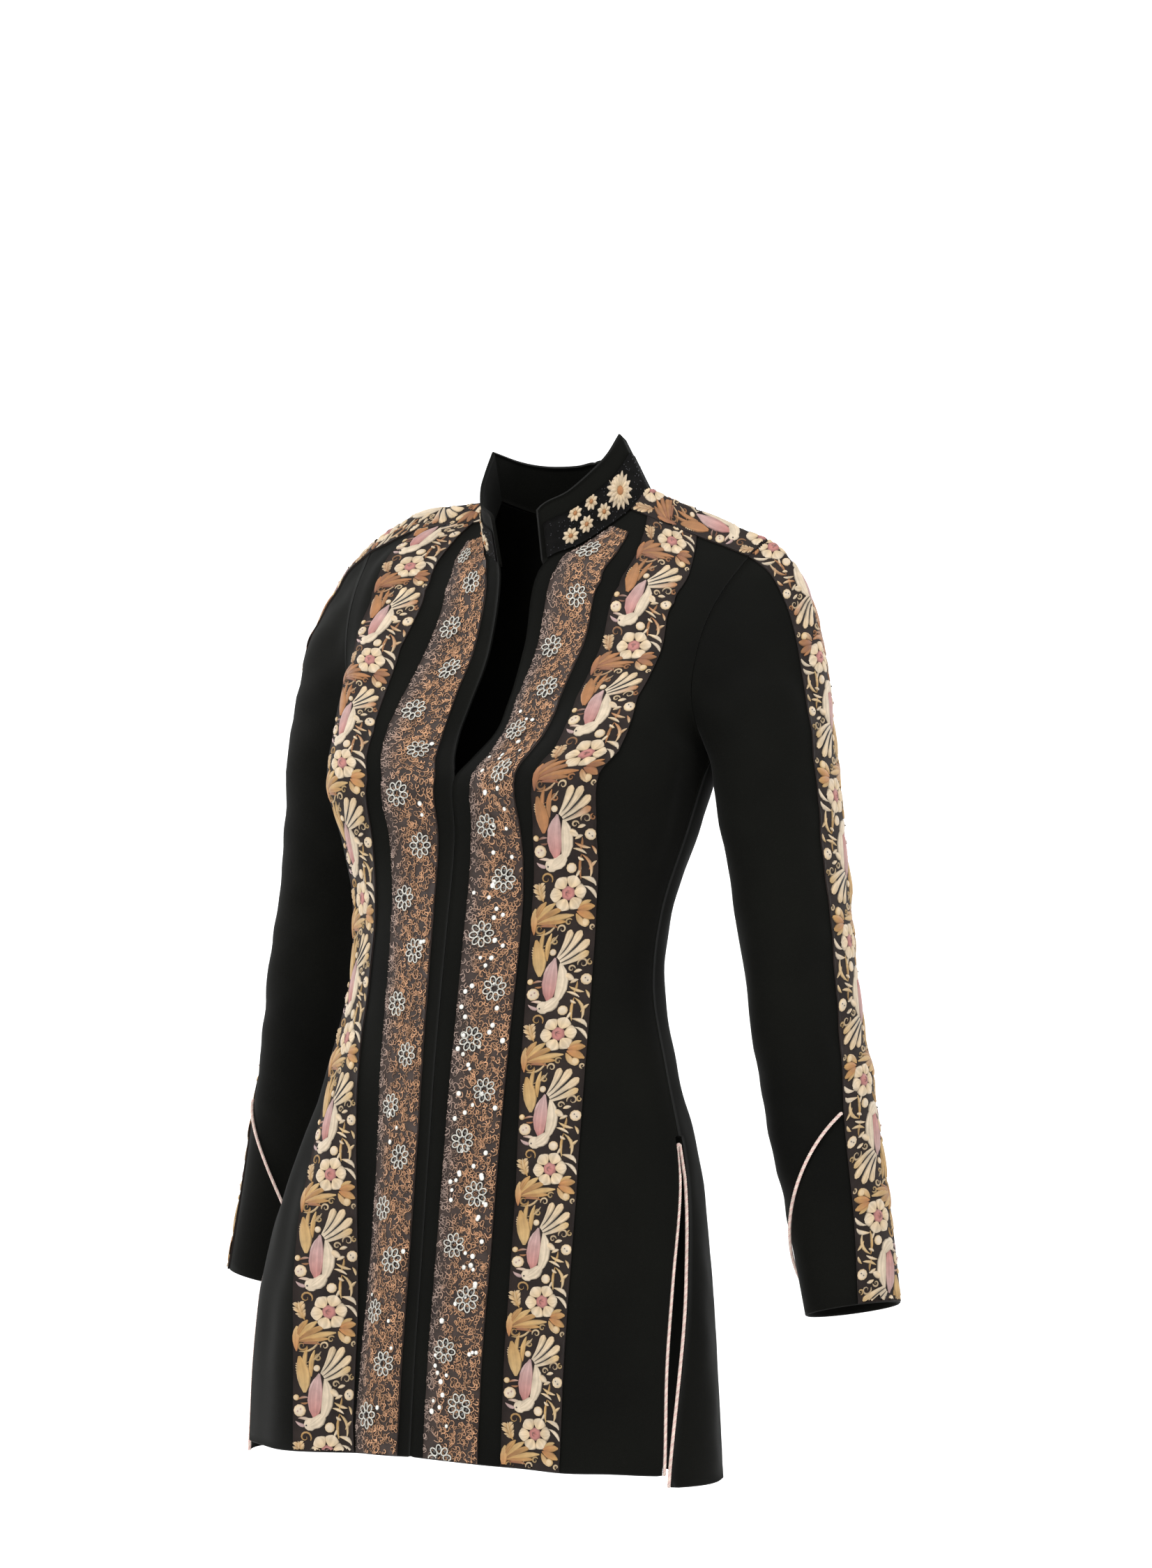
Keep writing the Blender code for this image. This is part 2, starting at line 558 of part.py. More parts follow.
def cord(name, path, sideways, radius, look):
    """A closed round cord along a path; sideways holds one direction across it at each point."""
    path, sideways = np.asarray(path), np.asarray(sideways)
    along = np.gradient(path, axis=0)
    along /= np.linalg.norm(along, axis=1)[:, None]
    across = sideways - along * np.sum(sideways * along, axis=1)[:, None]
    across /= np.linalg.norm(across, axis=1)[:, None]
    up = np.cross(along, across)
    angles = np.arange(PIPING_SIDES) * 2 * math.pi / PIPING_SIDES
    rings = [path + radius * (across * math.cos(a) + up * math.sin(a)) for a in angles]
    vertices = np.stack(rings, axis=1).reshape(-1, 3)
    triangles = []
    for i in range(len(path) - 1):
        for j in range(PIPING_SIDES):
            k = (j + 1) % PIPING_SIDES
            a, b = i * PIPING_SIDES + j, i * PIPING_SIDES + k
            triangles += [(a, b, b + PIPING_SIDES), (a, b + PIPING_SIDES, a + PIPING_SIDES)]
    end = (len(path) - 1) * PIPING_SIDES
    for j in range(1, PIPING_SIDES - 1):
        triangles += [(0, j + 1, j), (end, end + j, end + j + 1)]
    return add_piece(name, vertices, triangles, look)


def away_from(x, y):
    """Outward direction for surfaces that wrap an upright line at x, y."""
    def outward(points):
        out = points - np.array([x, y, 0.0])
        out[..., 2] = 0
        return out
    return outward


def around_arm(sign):
    def outward(points):
        centres = np.array([[sign * 0.21, -0.027, 0.0]])
        out = points - centres
        out[..., 2] = 0.3 * (points[..., 2] + 0.25)
        return out
    return outward


def vent_piping(name, front_edge, back_edge, front_side, back_side, out):
    """One cord up the front edge of the vent, over its top and down the back edge."""
    reach = PIPING_RADIUS + LAY_GAP
    up_front = front_edge + front_side * reach
    down_back = back_edge + back_side * reach
    top_front, top_back = up_front[0], down_back[0]
    middle, half = 0.5 * (top_front + top_back), 0.5 * (top_front - top_back)
    rise = np.array([0, 0, np.linalg.norm(half)])
    arch = [middle + half * math.cos(a) + rise * math.sin(a) for a in np.linspace(0, math.pi, 5)[1:-1]]
    path = np.concatenate([up_front[::-1], arch, down_back])
    sideways = np.concatenate([out[0][::-1], [out[0][0]] * len(arch), out[1]])
    return cord(name, path, sideways, PIPING_RADIUS, "piping")


def build():
    for thing in list(bpy.data.objects):
        bpy.data.objects.remove(thing, do_unlink=True)

    panels, sleeves, cuffs, seams = {}, {}, {}, {}
    for wearer, sign in (("left", 1), ("right", -1)):
        place = (lambda grid: grid) if sign > 0 else mirrored
        front, back = panel_grid("front", wearer), panel_grid("back", wearer)
        arm_rows = len(FRONT_ARM_LEVELS)
        vent_row = arm_rows + SIDE_LEVELS.index(VENT_STEP_Z)
        back[0] = front[0]
        back[arm_rows - 1:vent_row + 1, -1] = front[arm_rows - 1:vent_row + 1, -1]
        holes = {"front": front[:arm_rows, -1], "back": back[:arm_rows, -1]}
        panels[wearer, "front"], panels[wearer, "back"] = place(front), place(back)
        seams[wearer] = place(neckline(front, back))
        for half in ("front", "back"):
            sleeves[wearer, half] = place(sleeve_grid(holes[half], half))
            cuffs[wearer, half] = place(cuff_grid(holes[half], half))
    collar = collar_grid(seams["left"], seams["right"])

    body_out = away_from(0.0, -0.06)
    faced = {}
    for (wearer, half), grid in panels.items():
        faced[f"{half}_{wearer}"] = turned_out(grid, body_out)
    for wearer, sign in (("left", 1), ("right", -1)):
        for half in ("front", "back"):
            faced[f"sleeve_{wearer}_{half}"] = turned_out(sleeves[wearer, half], around_arm(sign))
            faced[f"cuff_{wearer}_{half}"] = turned_out(cuffs[wearer, half], around_arm(sign))
    faced["collar"] = turned_out(collar, away_from(0.0, 0.0))
    normals = shared_normals(faced.values())

    def wall(name, grid, edges, thickness, look, lift=0.0, closed=False):
        drawn = drawn_in(grid, edges, SEAM_HALF)
        return cloth_wall(name, drawn, normals_of(grid, normals), thickness, look, lift, closed)

    lift = LAY_GAP + BAND_CLOTH
    for wearer in ("left", "right"):
        front, back = panels[wearer, "front"], panels[wearer, "back"]
        wall(f"front_{wearer}", front, ("first", "left", "right"), VELVET, "velvet")
        wall(f"back_{wearer}", back, ("first", "left", "right"), VELVET, "velvet")
        ribbon = front[RIBBON_TOP_ROW:, RIBBON_COLUMNS[0]:RIBBON_COLUMNS[-1] + 1]
        wall(f"ribbon_{wearer}", ribbon, (), BAND_CLOTH, "ribbon", lift)
        bird = front[BAND_TOP_ROW:, BIRD_COLUMNS[0]:BIRD_COLUMNS[-1] + 1]
        wall(f"bird_band_{wearer}", bird, ("first",), BAND_CLOTH, "band", lift)
        shoulder = np.concatenate([front[:BAND_TOP_ROW + 1][::-1], back[1:BAND_TOP_ROW + 1]])
        wall(f"shoulder_band_{wearer}", shoulder, ("first", "left", "right"), BAND_CLOTH, "band", lift)

        halves = {half: sleeves[wearer, half] for half in ("front", "back")}
        for half, grid in halves.items():
            wall(f"sleeve_{wearer}_{half}", grid, ("first", "last", "left", "right"), VELVET, "velvet")
        cuff = np.concatenate([cuffs[wearer, "front"], cuffs[wearer, "back"][:, ::-1][:, 1:-1]], axis=1)
        wall(f"cuff_{wearer}", cuff, ("first",), VELVET, "velvet", closed=True)

        edge = BAND_TOP_ROW + 1
        whole = {half: np.concatenate([halves[half], cuffs[wearer, half][1:]]) for half in halves}
        sleeve_band = np.concatenate([whole["front"][:, :edge][:, ::-1], whole["back"][:, 1:edge]], axis=1)
        wall(f"sleeve_band_{wearer}", sleeve_band, ("first",), BAND_CLOTH, "band", lift)

        for half in ("front", "back"):
            seam = halves[half][-1][edge - 1:]
            seam_normals = normals_of(seam[None], normals)[0]
            seam = drawn_in(seam[:, None], ("first", "last"), SEAM_HALF + 2 * PIPING_RADIUS)[:, 0]
            path = seam + seam_normals * (PIPING_RADIUS + LAY_GAP)
            cord(f"cuff_piping_{wearer}_{half}", path, seam_normals, PIPING_RADIUS, "piping")

        start = len(FRONT_ARM_LEVELS) + SIDE_LEVELS.index(VENT_TOP_Z)
        edges, sides, outs = [], [], []
        for grid in (front, back):
            grid_normals = normals_of(grid[start:, -1:], normals)[:, 0]
            edge_points = grid[start:, -1] - grid_normals * VELVET / 2
            side = grid[start:, -1] - grid[start:, -2]
            edges.append(edge_points)
            sides.append(side / np.linalg.norm(side, axis=1)[:, None])
            outs.append(grid_normals)
        edges = [np.concatenate([[e[0] - [0, 0, 0.003]], e[1:]]) for e in edges]
        vent_piping(f"vent_piping_{wearer}", edges[0], edges[1], sides[0], sides[1], outs)

    wall("collar", collar, ("first",), COLLAR_CLOTH, "velvet")
    first, last = PATCH_COLUMNS
    low, high = PATCH_ROWS
    for wearer, grid in (("left", collar), ("right", collar[:, ::-1])):
        patch = drawn_in(grid[low:high + 1, first:last + 1], ("first",), 0.0015)
        patch = drawn_in(patch, ("left",), PATCH_EDGE)
        cloth_wall(f"collar_patch_{wearer}", patch, normals_of(grid[low:high + 1, first:last + 1], normals),
                   PATCH_CLOTH, "patch", LAY_GAP + PATCH_CLOTH)

    for thing in bpy.data.objects:
        print(thing.name, len(thing.data.polygons), [round(v, 3) for v in thing.dimensions])
    print("triangles", sum(len(thing.data.polygons) for thing in bpy.data.objects))


build()
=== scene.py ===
# %% [markdown]
# # A velvet tunic jacket
# The real garment is a fitted, long-sleeved tunic of black velvet. Its front has an open slit below a
# low stand collar, two glittering ribbons beside the slit and two embroidered bands of birds and
# flowers outside them. The same embroidered band runs over the shoulders and down the sleeves.
# The CAD frame gives every cut piece as a plain wall. This lesson dresses that frame: it makes the
# velvet again with folds and pile, then the sewn work as real small threads, wires and loops.

# %% Load the CAD frame
import math
from collections import namedtuple

import bpy
import numpy as np
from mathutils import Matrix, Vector


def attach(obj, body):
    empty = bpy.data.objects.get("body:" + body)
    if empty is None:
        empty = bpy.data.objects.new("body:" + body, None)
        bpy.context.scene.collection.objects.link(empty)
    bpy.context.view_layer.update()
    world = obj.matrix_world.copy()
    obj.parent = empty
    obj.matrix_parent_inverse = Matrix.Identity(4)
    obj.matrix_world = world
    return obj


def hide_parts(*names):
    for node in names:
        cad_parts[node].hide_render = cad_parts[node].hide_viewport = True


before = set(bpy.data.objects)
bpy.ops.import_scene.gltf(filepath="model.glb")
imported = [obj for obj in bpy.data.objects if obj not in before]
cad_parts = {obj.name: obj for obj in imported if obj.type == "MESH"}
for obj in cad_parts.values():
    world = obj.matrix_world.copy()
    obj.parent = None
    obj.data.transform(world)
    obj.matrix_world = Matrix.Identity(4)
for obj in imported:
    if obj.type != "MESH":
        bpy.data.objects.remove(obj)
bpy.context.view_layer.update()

# %% [markdown]
# ## The form of the garment
# A pattern cutter works from rows measured round the body at set heights. The tables below are such
# rows: where each starts at the centre, where it ends at the side seam, and how far the cloth turns
# in between. They are the same tables as the CAD's, so that the dressed cloth lies on the CAD walls;
# only the number of points between the rows is higher here, because folds need them.

# %% Cloth and trim sizes
VELVET = 0.0020          # wall of the lined velvet
COLLAR_CLOTH = 0.0026    # doubled and interfaced collar
BAND_CLOTH = 0.0012      # ribbons and embroidered bands
PATCH_CLOTH = 0.0010
SEAM_HALF = 0.00018      # each piece stops this far short of a seam
LAY_GAP = 0.0003         # between a band and the velvet below it
BIRD_WIDTH = 0.046
PIPING_RADIUS = 0.0012


# %% Heights along the side seam
SHOULDER_Z = -0.045
V_TOP_Z = -0.102         # where the collar meets the front slit
VENT_STEP_Z = -0.478
VENT_TOP_Z = -0.483
VENT_LENS = 0.008        # widest gap between the vent's two edges
VENT_EDGE = 0.0035       # what each vent edge gives up to its piping

# %% Rows of the front and back
# One row of the front or back. The inner end lies on the centre line, the slit or the neckline,
# the outer end on the side seam or armhole. turn is how far the cloth turns between them in
# degrees, and full squares the curve up.
Row = namedtuple("Row", "side_z inner_x inner_y inner_z outer_x outer_y turn full")

FRONT_ROWS = (
    Row(-0.711, 0.0000, -0.2055, -0.704, 0.1785, -0.1470, 70, 0.05),
    Row(-0.650, 0.0000, -0.2000, -0.640, 0.1780, -0.1390, 74, 0.05),
    Row(-0.580, 0.0000, -0.1925, -0.574, 0.1750, -0.1240, 80, 0.05),
    Row(-0.500, 0.0000, -0.1840, -0.496, 0.1655, -0.1060, 87, 0.05),
    Row(-0.430, 0.0000, -0.1765, -0.428, 0.1445, -0.0960, 91, 0.04),
    Row(-0.375, 0.0000, -0.1690, -0.376, 0.1315, -0.0920, 90, 0.03),
    Row(-0.320, 0.0000, -0.1605, -0.322, 0.1330, -0.0840, 90, 0.03),
    Row(-0.260, 0.0000, -0.1510, -0.262, 0.1440, -0.0660, 90, 0.06),
    Row(-0.222, 0.0000, -0.1500, -0.221, 0.1490, -0.0520, 89, 0.07),
    Row(-0.205, 0.0085, -0.1370, -0.206, 0.1500, -0.0430, 88, 0.08),
    Row(-0.190, 0.0155, -0.1210, -0.190, 0.1500, -0.0580, 80, 0.07),
    Row(-0.165, 0.0170, -0.1060, -0.165, 0.1490, -0.0670, 72, 0.05),
    Row(-0.135, 0.0155, -0.0865, -0.122, 0.1505, -0.0640, 60, 0.03),
    Row(-0.102, 0.0200, -0.0690, -0.059, 0.1540, -0.0500, 50, 0.0),
    Row(-0.080, 0.0450, -0.0490, -0.043, 0.1585, -0.0340, 42, 0.0),
    Row(-0.070, 0.0560, -0.0330, -0.030, 0.1610, -0.0245, 36, 0.0),
    Row(-0.058, 0.0632, -0.0160, -0.0165, 0.1645, -0.0125, 28, 0.0),
    Row(-0.045, 0.0670, 0.0000, 0.000, 0.1690, 0.0060, 16, 0.0),
)
BACK_ROWS = (
    Row(-0.719, 0.0000, -0.0320, -0.724, 0.1785, -0.1480, 110, 0.05),
    Row(-0.655, 0.0000, -0.0290, -0.660, 0.1780, -0.1390, 106, 0.05),
    Row(-0.580, 0.0000, -0.0260, -0.582, 0.1750, -0.1240, 100, 0.05),
    Row(-0.500, 0.0000, -0.0240, -0.500, 0.1655, -0.1060, 93, 0.05),
    Row(-0.430, 0.0000, -0.0250, -0.428, 0.1445, -0.0960, 89, 0.04),
    Row(-0.375, 0.0000, -0.0190, -0.372, 0.1315, -0.0920, 90, 0.03),
    Row(-0.320, 0.0000, -0.0080, -0.315, 0.1330, -0.0840, 90, 0.03),
    Row(-0.260, 0.0000, 0.0120, -0.253, 0.1440, -0.0660, 90, 0.03),
    Row(-0.222, 0.0000, 0.0270, -0.213, 0.1490, -0.0520, 90, 0.03),
    Row(-0.205, 0.0000, 0.0340, -0.194, 0.1500, -0.0430, 90, 0.02),
    Row(-0.190, 0.0000, 0.0400, -0.175, 0.1490, -0.0270, 85, 0.02),
    Row(-0.165, 0.0000, 0.0480, -0.140, 0.1480, -0.0060, 78, 0.01),
    Row(-0.125, 0.0000, 0.0590, -0.070, 0.1500, 0.0240, 62, 0.0),
    Row(-0.092, 0.0000, 0.0600, -0.012, 0.1555, 0.0320, 48, 0.0),
    Row(-0.082, 0.0200, 0.0570, -0.0115, 0.1580, 0.0320, 42, 0.0),
    Row(-0.070, 0.0430, 0.0440, -0.009, 0.1615, 0.0300, 34, 0.0),
    Row(-0.057, 0.0605, 0.0230, -0.004, 0.1655, 0.0235, 24, 0.0),
    Row(-0.045, 0.0670, 0.0000, 0.000, 0.1690, 0.0060, 16, 0.0),
)
FRONT_KEEL = 0.75        # below 1 the fronts meet in a soft ridge
BUST_X, BUST_Z, BUST_RADIUS, BUST_OUT = 0.094, -0.208, 0.064, 0.031

# %% Levels of the walls' points
# The heights, along the side or armhole, where the walls have points
FRONT_ARM_LEVELS = (-0.045, -0.0515, -0.058, -0.070, -0.085, -0.102, -0.125, -0.145, -0.165, -0.185,
                    -0.205)
BACK_ARM_LEVELS = (-0.045, -0.0510, -0.057, -0.070, -0.082, -0.092, -0.110, -0.135, -0.160, -0.185,
                   -0.205)
SIDE_LEVELS = (-0.222, -0.262, -0.300, -0.340, -0.375, -0.415, -0.450, -0.478, -0.483, -0.530, -0.580,
               -0.630, -0.680)
FRONT_HEM_Z, BACK_HEM_Z = -0.711, -0.719

# %% Bands, flutes and sleeves
# Where the ribbon and the bird band start, measured from the front edge. On the wearer's right
# both have their own lines.
BandRow = namedtuple("BandRow", "side_z ribbon ribbon_width bird right_ribbon right_bird")
BAND_ROWS = (
    BandRow(-0.711, 0.0120, 0.0440, 0.0735, 0.0115, 0.0580),
    BandRow(-0.625, 0.0115, 0.0440, 0.0720, 0.0112, 0.0620),
    BandRow(-0.521, 0.0122, 0.0440, 0.0718, 0.0110, 0.0715),
    BandRow(-0.470, 0.0130, 0.0440, 0.0702, 0.0110, 0.0765),
    BandRow(-0.417, 0.0140, 0.0440, 0.0685, 0.0120, 0.0800),
    BandRow(-0.366, 0.0148, 0.0440, 0.0672, 0.0130, 0.0805),
    BandRow(-0.314, 0.0155, 0.0440, 0.0668, 0.0135, 0.0780),
    BandRow(-0.262, 0.0155, 0.0440, 0.0700, 0.0140, 0.0740),
    BandRow(-0.222, 0.0180, 0.0440, 0.0800, 0.0155, 0.0720),
    BandRow(-0.205, 0.0170, 0.0440, 0.0820, 0.0150, 0.0700),
    BandRow(-0.188, 0.0120, 0.0440, 0.0745, 0.0130, 0.0665),
    BandRow(-0.165, 0.0100, 0.0435, 0.0690, 0.0130, 0.0700),
    BandRow(-0.135, 0.0125, 0.0420, 0.0700, 0.0140, 0.0740),
    BandRow(-0.118, 0.0138, 0.0405, 0.0700, 0.0140, 0.0730),
    BandRow(-0.102, 0.0136, 0.0385, 0.0680, 0.0136, 0.0700),
    BandRow(-0.090, 0.0050, 0.0335, 0.0560, 0.0050, 0.0570),
    BandRow(-0.080, 0.0022, 0.0265, 0.0440, 0.0022, 0.0440),
    BandRow(-0.070, 0.0022, 0.0150, 0.0300, 0.0022, 0.0300),
    BandRow(-0.058, 0.0022, 0.0040, 0.0160, 0.0022, 0.0160),
    BandRow(-0.045, 0.0012, 0.0024, 0.0060, 0.0012, 0.0060),
)
OUTER_COLUMNS = 5        # columns of points from the bird band to the side
RIBBON_COLUMNS = (1, 2, 3)
BIRD_COLUMNS = (4, 5, 6)
RIBBON_TOP_ROW = 3       # the ribbon runs out on the neckline at this row
BAND_TOP_ROW = 2         # the shoulder band ends at this row
BACK_EVEN_Z = -0.135     # below this the back's columns are evenly spaced

# Flutes of the skirt: at is a share of the row from the centre line, wide and out are sizes
Flute = namedtuple("Flute", "wearer panel at wide out")
FLUTES = (
    Flute("left", "front", 0.45, 0.020, -0.003),
    Flute("left", "front", 0.63, 0.018, 0.004),
    Flute("left", "front", 0.80, 0.018, -0.003),
    Flute("right", "front", 0.29, 0.020, -0.006),
    Flute("right", "front", 0.57, 0.028, 0.009),
    Flute("left", "back", 0.21, 0.025, 0.004),
    Flute("left", "back", 0.44, 0.022, -0.004),
    Flute("left", "back", 0.66, 0.022, 0.005),
    Flute("right", "back", 0.19, 0.025, 0.005),
    Flute("right", "back", 0.42, 0.022, -0.004),
    Flute("right", "back", 0.64, 0.022, 0.004),
)
FLUTE_TOP_Z, FLUTE_FULL_Z = -0.36, -0.60
EDGE_FADE = 0.030        # flutes and bust fade out over this width, so that seams still meet

# Rings of the sleeve below its cap. down is the share of its length from the first ring, and
# turn is the direction of the outer line, from the front.
Ring = namedtuple("Ring", "down x y z half_width half_depth turn")
ARM_RINGS = (
    Ring(0.00, 0.1950, -0.0230, -0.235, 0.0435, 0.0520, 100),
    Ring(0.15, 0.2035, -0.0245, -0.290, 0.0413, 0.0492, 101),
    Ring(0.315, 0.2135, -0.0280, -0.350, 0.0392, 0.0460, 104),
    Ring(0.49, 0.2240, -0.0290, -0.415, 0.0385, 0.0441, 100),
    Ring(0.67, 0.2368, -0.0290, -0.480, 0.0370, 0.0415, 90),
    Ring(0.84, 0.2500, -0.0310, -0.542, 0.0345, 0.0386, 84),
    Ring(1.00, 0.2630, -0.0355, -0.600, 0.0315, 0.0362, 75),
)
SLEEVE_LENGTH = 0.372    # from the first ring to the cuff hem
CUFF_POINT = 0.145       # height of the cuff's point on the outer line
CUFF_LOW = 0.014         # height of the cuff at the underarm seam
CUFF_SWEEP = 1.4         # how soon the cuff seam falls away from its point
CAP_ROWS, ARM_ROWS, CUFF_ROWS = 4, 7, 3
ROW_FINE, COLUMN_FINE = 6, 4   # points here for each one of the CAD's
CAP_REACH, CAP_DROP = 0.27, 0.42

# The wearer's right shoulder is carried a little higher and further forward than the left
RIGHT_SHOULDER = (0.010, -0.012, 0.023)
RIGHT_START_X, RIGHT_WIDE = 0.052, 0.090
RIGHT_LOW_Z, RIGHT_TALL = -0.270, 0.170
# and the wearer's right side of the skirt stands out further
RIGHT_SKIRT, RIGHT_SKIRT_HEM = 0.021, 0.014
SKIRT_REACH_X, SKIRT_FREE_Z = 0.19, -0.63   # the arm, which isn't moved, lies past both
SKIRT_START_X, SKIRT_WIDE = 0.06, 0.11

# The stand collar
COLLAR_HEIGHT_FRONT, COLLAR_HEIGHT_BACK = 0.040, 0.042
COLLAR_LEAN = 0.33       # inward lean as a share of the height
COLLAR_LEAN_RIGHT = 0.05  # it stands nearly upright on the wearer's right
COLLAR_RIGHT_SHARE = 0.85  # and is a little lower there
COLLAR_AHEAD = 0.36      # forward lean of the whole collar, with the neck
COLLAR_ROWS = 3
PATCH_COLUMNS = (0, 6)
PATCH_ROWS = (0, 2)

# %% Tables read between their rows
def finer(values, steps):
    """The values with even steps put between each two of them."""
    places = np.arange((len(values) - 1) * steps + 1) / steps
    return np.interp(places, range(len(values)), values)


def smooth_table(rows, key, at):
    """The rows' columns at one value of the key column, on a smooth curve through them."""
    keys = [getattr(r, key) for r in rows]
    values = np.array(rows, float)
    slopes = np.gradient(values, keys, axis=0)
    at = min(max(at, keys[0]), keys[-1])
    i = min(int(np.searchsorted(keys, at, side="right")) - 1, len(keys) - 2)
    step = keys[i + 1] - keys[i]
    t = (at - keys[i]) / step
    start, end = values[i], values[i + 1]
    leave, arrive = slopes[i] * step, slopes[i + 1] * step
    mixed = ((2 * t**3 - 3 * t**2 + 1) * start + (t**3 - 2 * t**2 + t) * leave
             + (3 * t**2 - 2 * t**3) * end + (t**3 - t**2) * arrive)
    return type(rows[0])(*mixed)


def straight_table(rows, key, at):
    """The rows' columns at one value of the key column, on straight lines between them."""
    keys = [getattr(r, key) for r in rows]
    return type(rows[0])(*(np.interp(at, keys, column) for column in zip(*rows)))


def run_along(points):
    """Distance of each point from the first, along the points."""
    return np.concatenate([[0], np.cumsum(np.linalg.norm(np.diff(points, axis=0), axis=1))])


def unit(vectors):
    """The vectors, each made one long."""
    return vectors / np.maximum(np.linalg.norm(vectors, axis=-1), 1e-12)[..., None]


# %% Rows as points
def row_points(row, shares):
    """Points along one row, from its inner end (0) to its outer end (1)."""
    turn = math.radians(row.turn)
    shares = np.asarray(shares, float)
    angle = shares * turn
    across = np.sin(angle) / math.sin(turn)
    deep = (np.cos(angle) - math.cos(turn)) / (1 - math.cos(turn))
    ahead = 1 if row.inner_y < row.outer_y else -1
    if ahead > 0:
        deep = 1 - np.maximum(1 - deep, 0) ** FRONT_KEEL
    push = row.full * 0.15 * np.sin(math.pi * shares) ** 2
    return np.stack([
        row.inner_x + (row.outer_x - row.inner_x) * across + push * np.sin(angle),
        row.outer_y + (row.inner_y - row.outer_y) * deep - ahead * push * np.cos(angle),
        row.inner_z + (row.side_z - row.inner_z) * np.minimum(across, 1.0),
    ], axis=-1)


def smooth_step(value):
    t = np.clip(value, 0.0, 1.0)
    return t * t * (3 - 2 * t)


def with_bust(points):
    """The front's darts and fullness, as a soft push forward."""
    run = run_along(points)
    away = (points[:, 0] - BUST_X) ** 2 + (points[:, 2] - BUST_Z) ** 2
    push = BUST_OUT * np.maximum(np.exp(-away / BUST_RADIUS**2) - 0.01, 0)
    push *= smooth_step((run[-1] - run) / EDGE_FADE)
    return points + np.stack([0.25 * push * (points[:, 0] > 0.05), -push, 0 * push], axis=-1)


def with_flutes(points, panel, side_z, wearer):
    """Skirt flutes pushed in or out, square to the row."""
    grow = smooth_step((FLUTE_TOP_Z - side_z) / (FLUTE_TOP_Z - FLUTE_FULL_Z))
    if grow == 0:
        return points
    run = run_along(points)
    along = unit(np.gradient(points[:, :2], axis=0))
    ahead = 1 if panel == "front" else -1
    out = np.stack([ahead * along[:, 1], -ahead * along[:, 0]], axis=-1)
    push = sum(f.out * np.exp(-(((run - f.at * run[-1]) / f.wide) ** 2))
               for f in FLUTES if f.wearer == wearer and f.panel == panel)
    fade = smooth_step(run / EDGE_FADE) * smooth_step((run[-1] - run) / EDGE_FADE)
    moved = points.copy()
    moved[:, :2] += out * (push * grow * fade)[:, None]
    return moved


def fine_row(panel, side_z, wearer):
    """Many points along a row of the wearer's left side; the right side is mirrored later."""
    row = smooth_table(FRONT_ROWS if panel == "front" else BACK_ROWS, "side_z", side_z)
    row = row._replace(inner_x=max(row.inner_x, 0.0))
    points = row_points(row, np.linspace(0, 1, 161))
    if panel == "front":
        points = with_bust(points)
    return with_flutes(points, panel, side_z, wearer)


def read_along(values, run, places):
    """Rows of a table read at places along a run."""
    return np.stack([np.interp(places, run, column) for column in values.T], axis=-1)


def at_distances(points, distances):
    """The points at these distances along a row."""
    return read_along(points, run_along(points), distances)


# %% Panels as grids of points
def vent_inset(side_z):
    """How far a side edge stops short of the side line, for the vent and its piping."""
    if side_z > VENT_STEP_Z - 1e-6:
        return 0.0
    share = (VENT_TOP_Z - side_z) / (VENT_TOP_Z - FRONT_HEM_Z)
    return VENT_EDGE + 0.5 * VENT_LENS * math.sin(math.pi * min(max(share, 0.0), 1.0)) ** 1.5


def front_distances(side_z, length, wearer):
    """Distances of the front's columns from its inner end."""
    band = straight_table(BAND_ROWS, "side_z", side_z)
    ribbon, bird = (band.ribbon, band.bird) if wearer == "left" else (band.right_ribbon, band.right_bird)
    inner = [0, ribbon, ribbon + band.ribbon_width / 2, ribbon + band.ribbon_width,
             bird, bird + BIRD_WIDTH / 2, bird + BIRD_WIDTH]
    end = length - vent_inset(side_z)
    return finer(inner + list(np.linspace(inner[-1], end, OUTER_COLUMNS + 1)[1:]), COLUMN_FINE)


def back_distances(side_z, length, shoulder_shares):
    """The back's columns match the front's on the shoulder and are even lower down."""
    even = np.linspace(0, 1, len(shoulder_shares))
    blend = smooth_step((SHOULDER_Z - side_z) / (SHOULDER_Z - BACK_EVEN_Z))
    shares = shoulder_shares + (even - shoulder_shares) * blend
    return shares * (length - vent_inset(side_z))


def panel_grid(panel, wearer):
    """Rows of points from the shoulder down, columns from the centre out."""
    top = FRONT_ARM_LEVELS if panel == "front" else BACK_ARM_LEVELS
    hem = FRONT_HEM_Z if panel == "front" else BACK_HEM_Z
    shoulder = fine_row("front", SHOULDER_Z, wearer)
    shoulder_length = run_along(shoulder)[-1]
    shares = front_distances(SHOULDER_Z, shoulder_length, wearer) / shoulder_length
    grid = []
    for side_z in finer(top + SIDE_LEVELS + (hem,), ROW_FINE):
        points = fine_row(panel, side_z, wearer)
        length = run_along(points)[-1]
        if panel == "front":
            distances = front_distances(side_z, length, wearer)
        else:
            distances = back_distances(side_z, length, shares)
        grid.append(at_distances(points, distances))
    return np.array(grid)


# %% Sleeves and cuffs as grids of points
def arm_frame(down):
    ring = smooth_table(ARM_RINGS, "down", down)
    before = smooth_table(ARM_RINGS, "down", max(0, down - 0.02))
    after = smooth_table(ARM_RINGS, "down", min(1, down + 0.02))
    axis = np.array([after.x - before.x, after.y - before.y, after.z - before.z])
    axis /= np.linalg.norm(axis)
    turn = math.radians(ring.turn)
    outer = np.array([math.sin(turn), -math.cos(turn), 0.0])
    outer -= axis * (outer @ axis)
    outer /= np.linalg.norm(outer)
    return ring, axis, outer, np.cross(axis, outer)


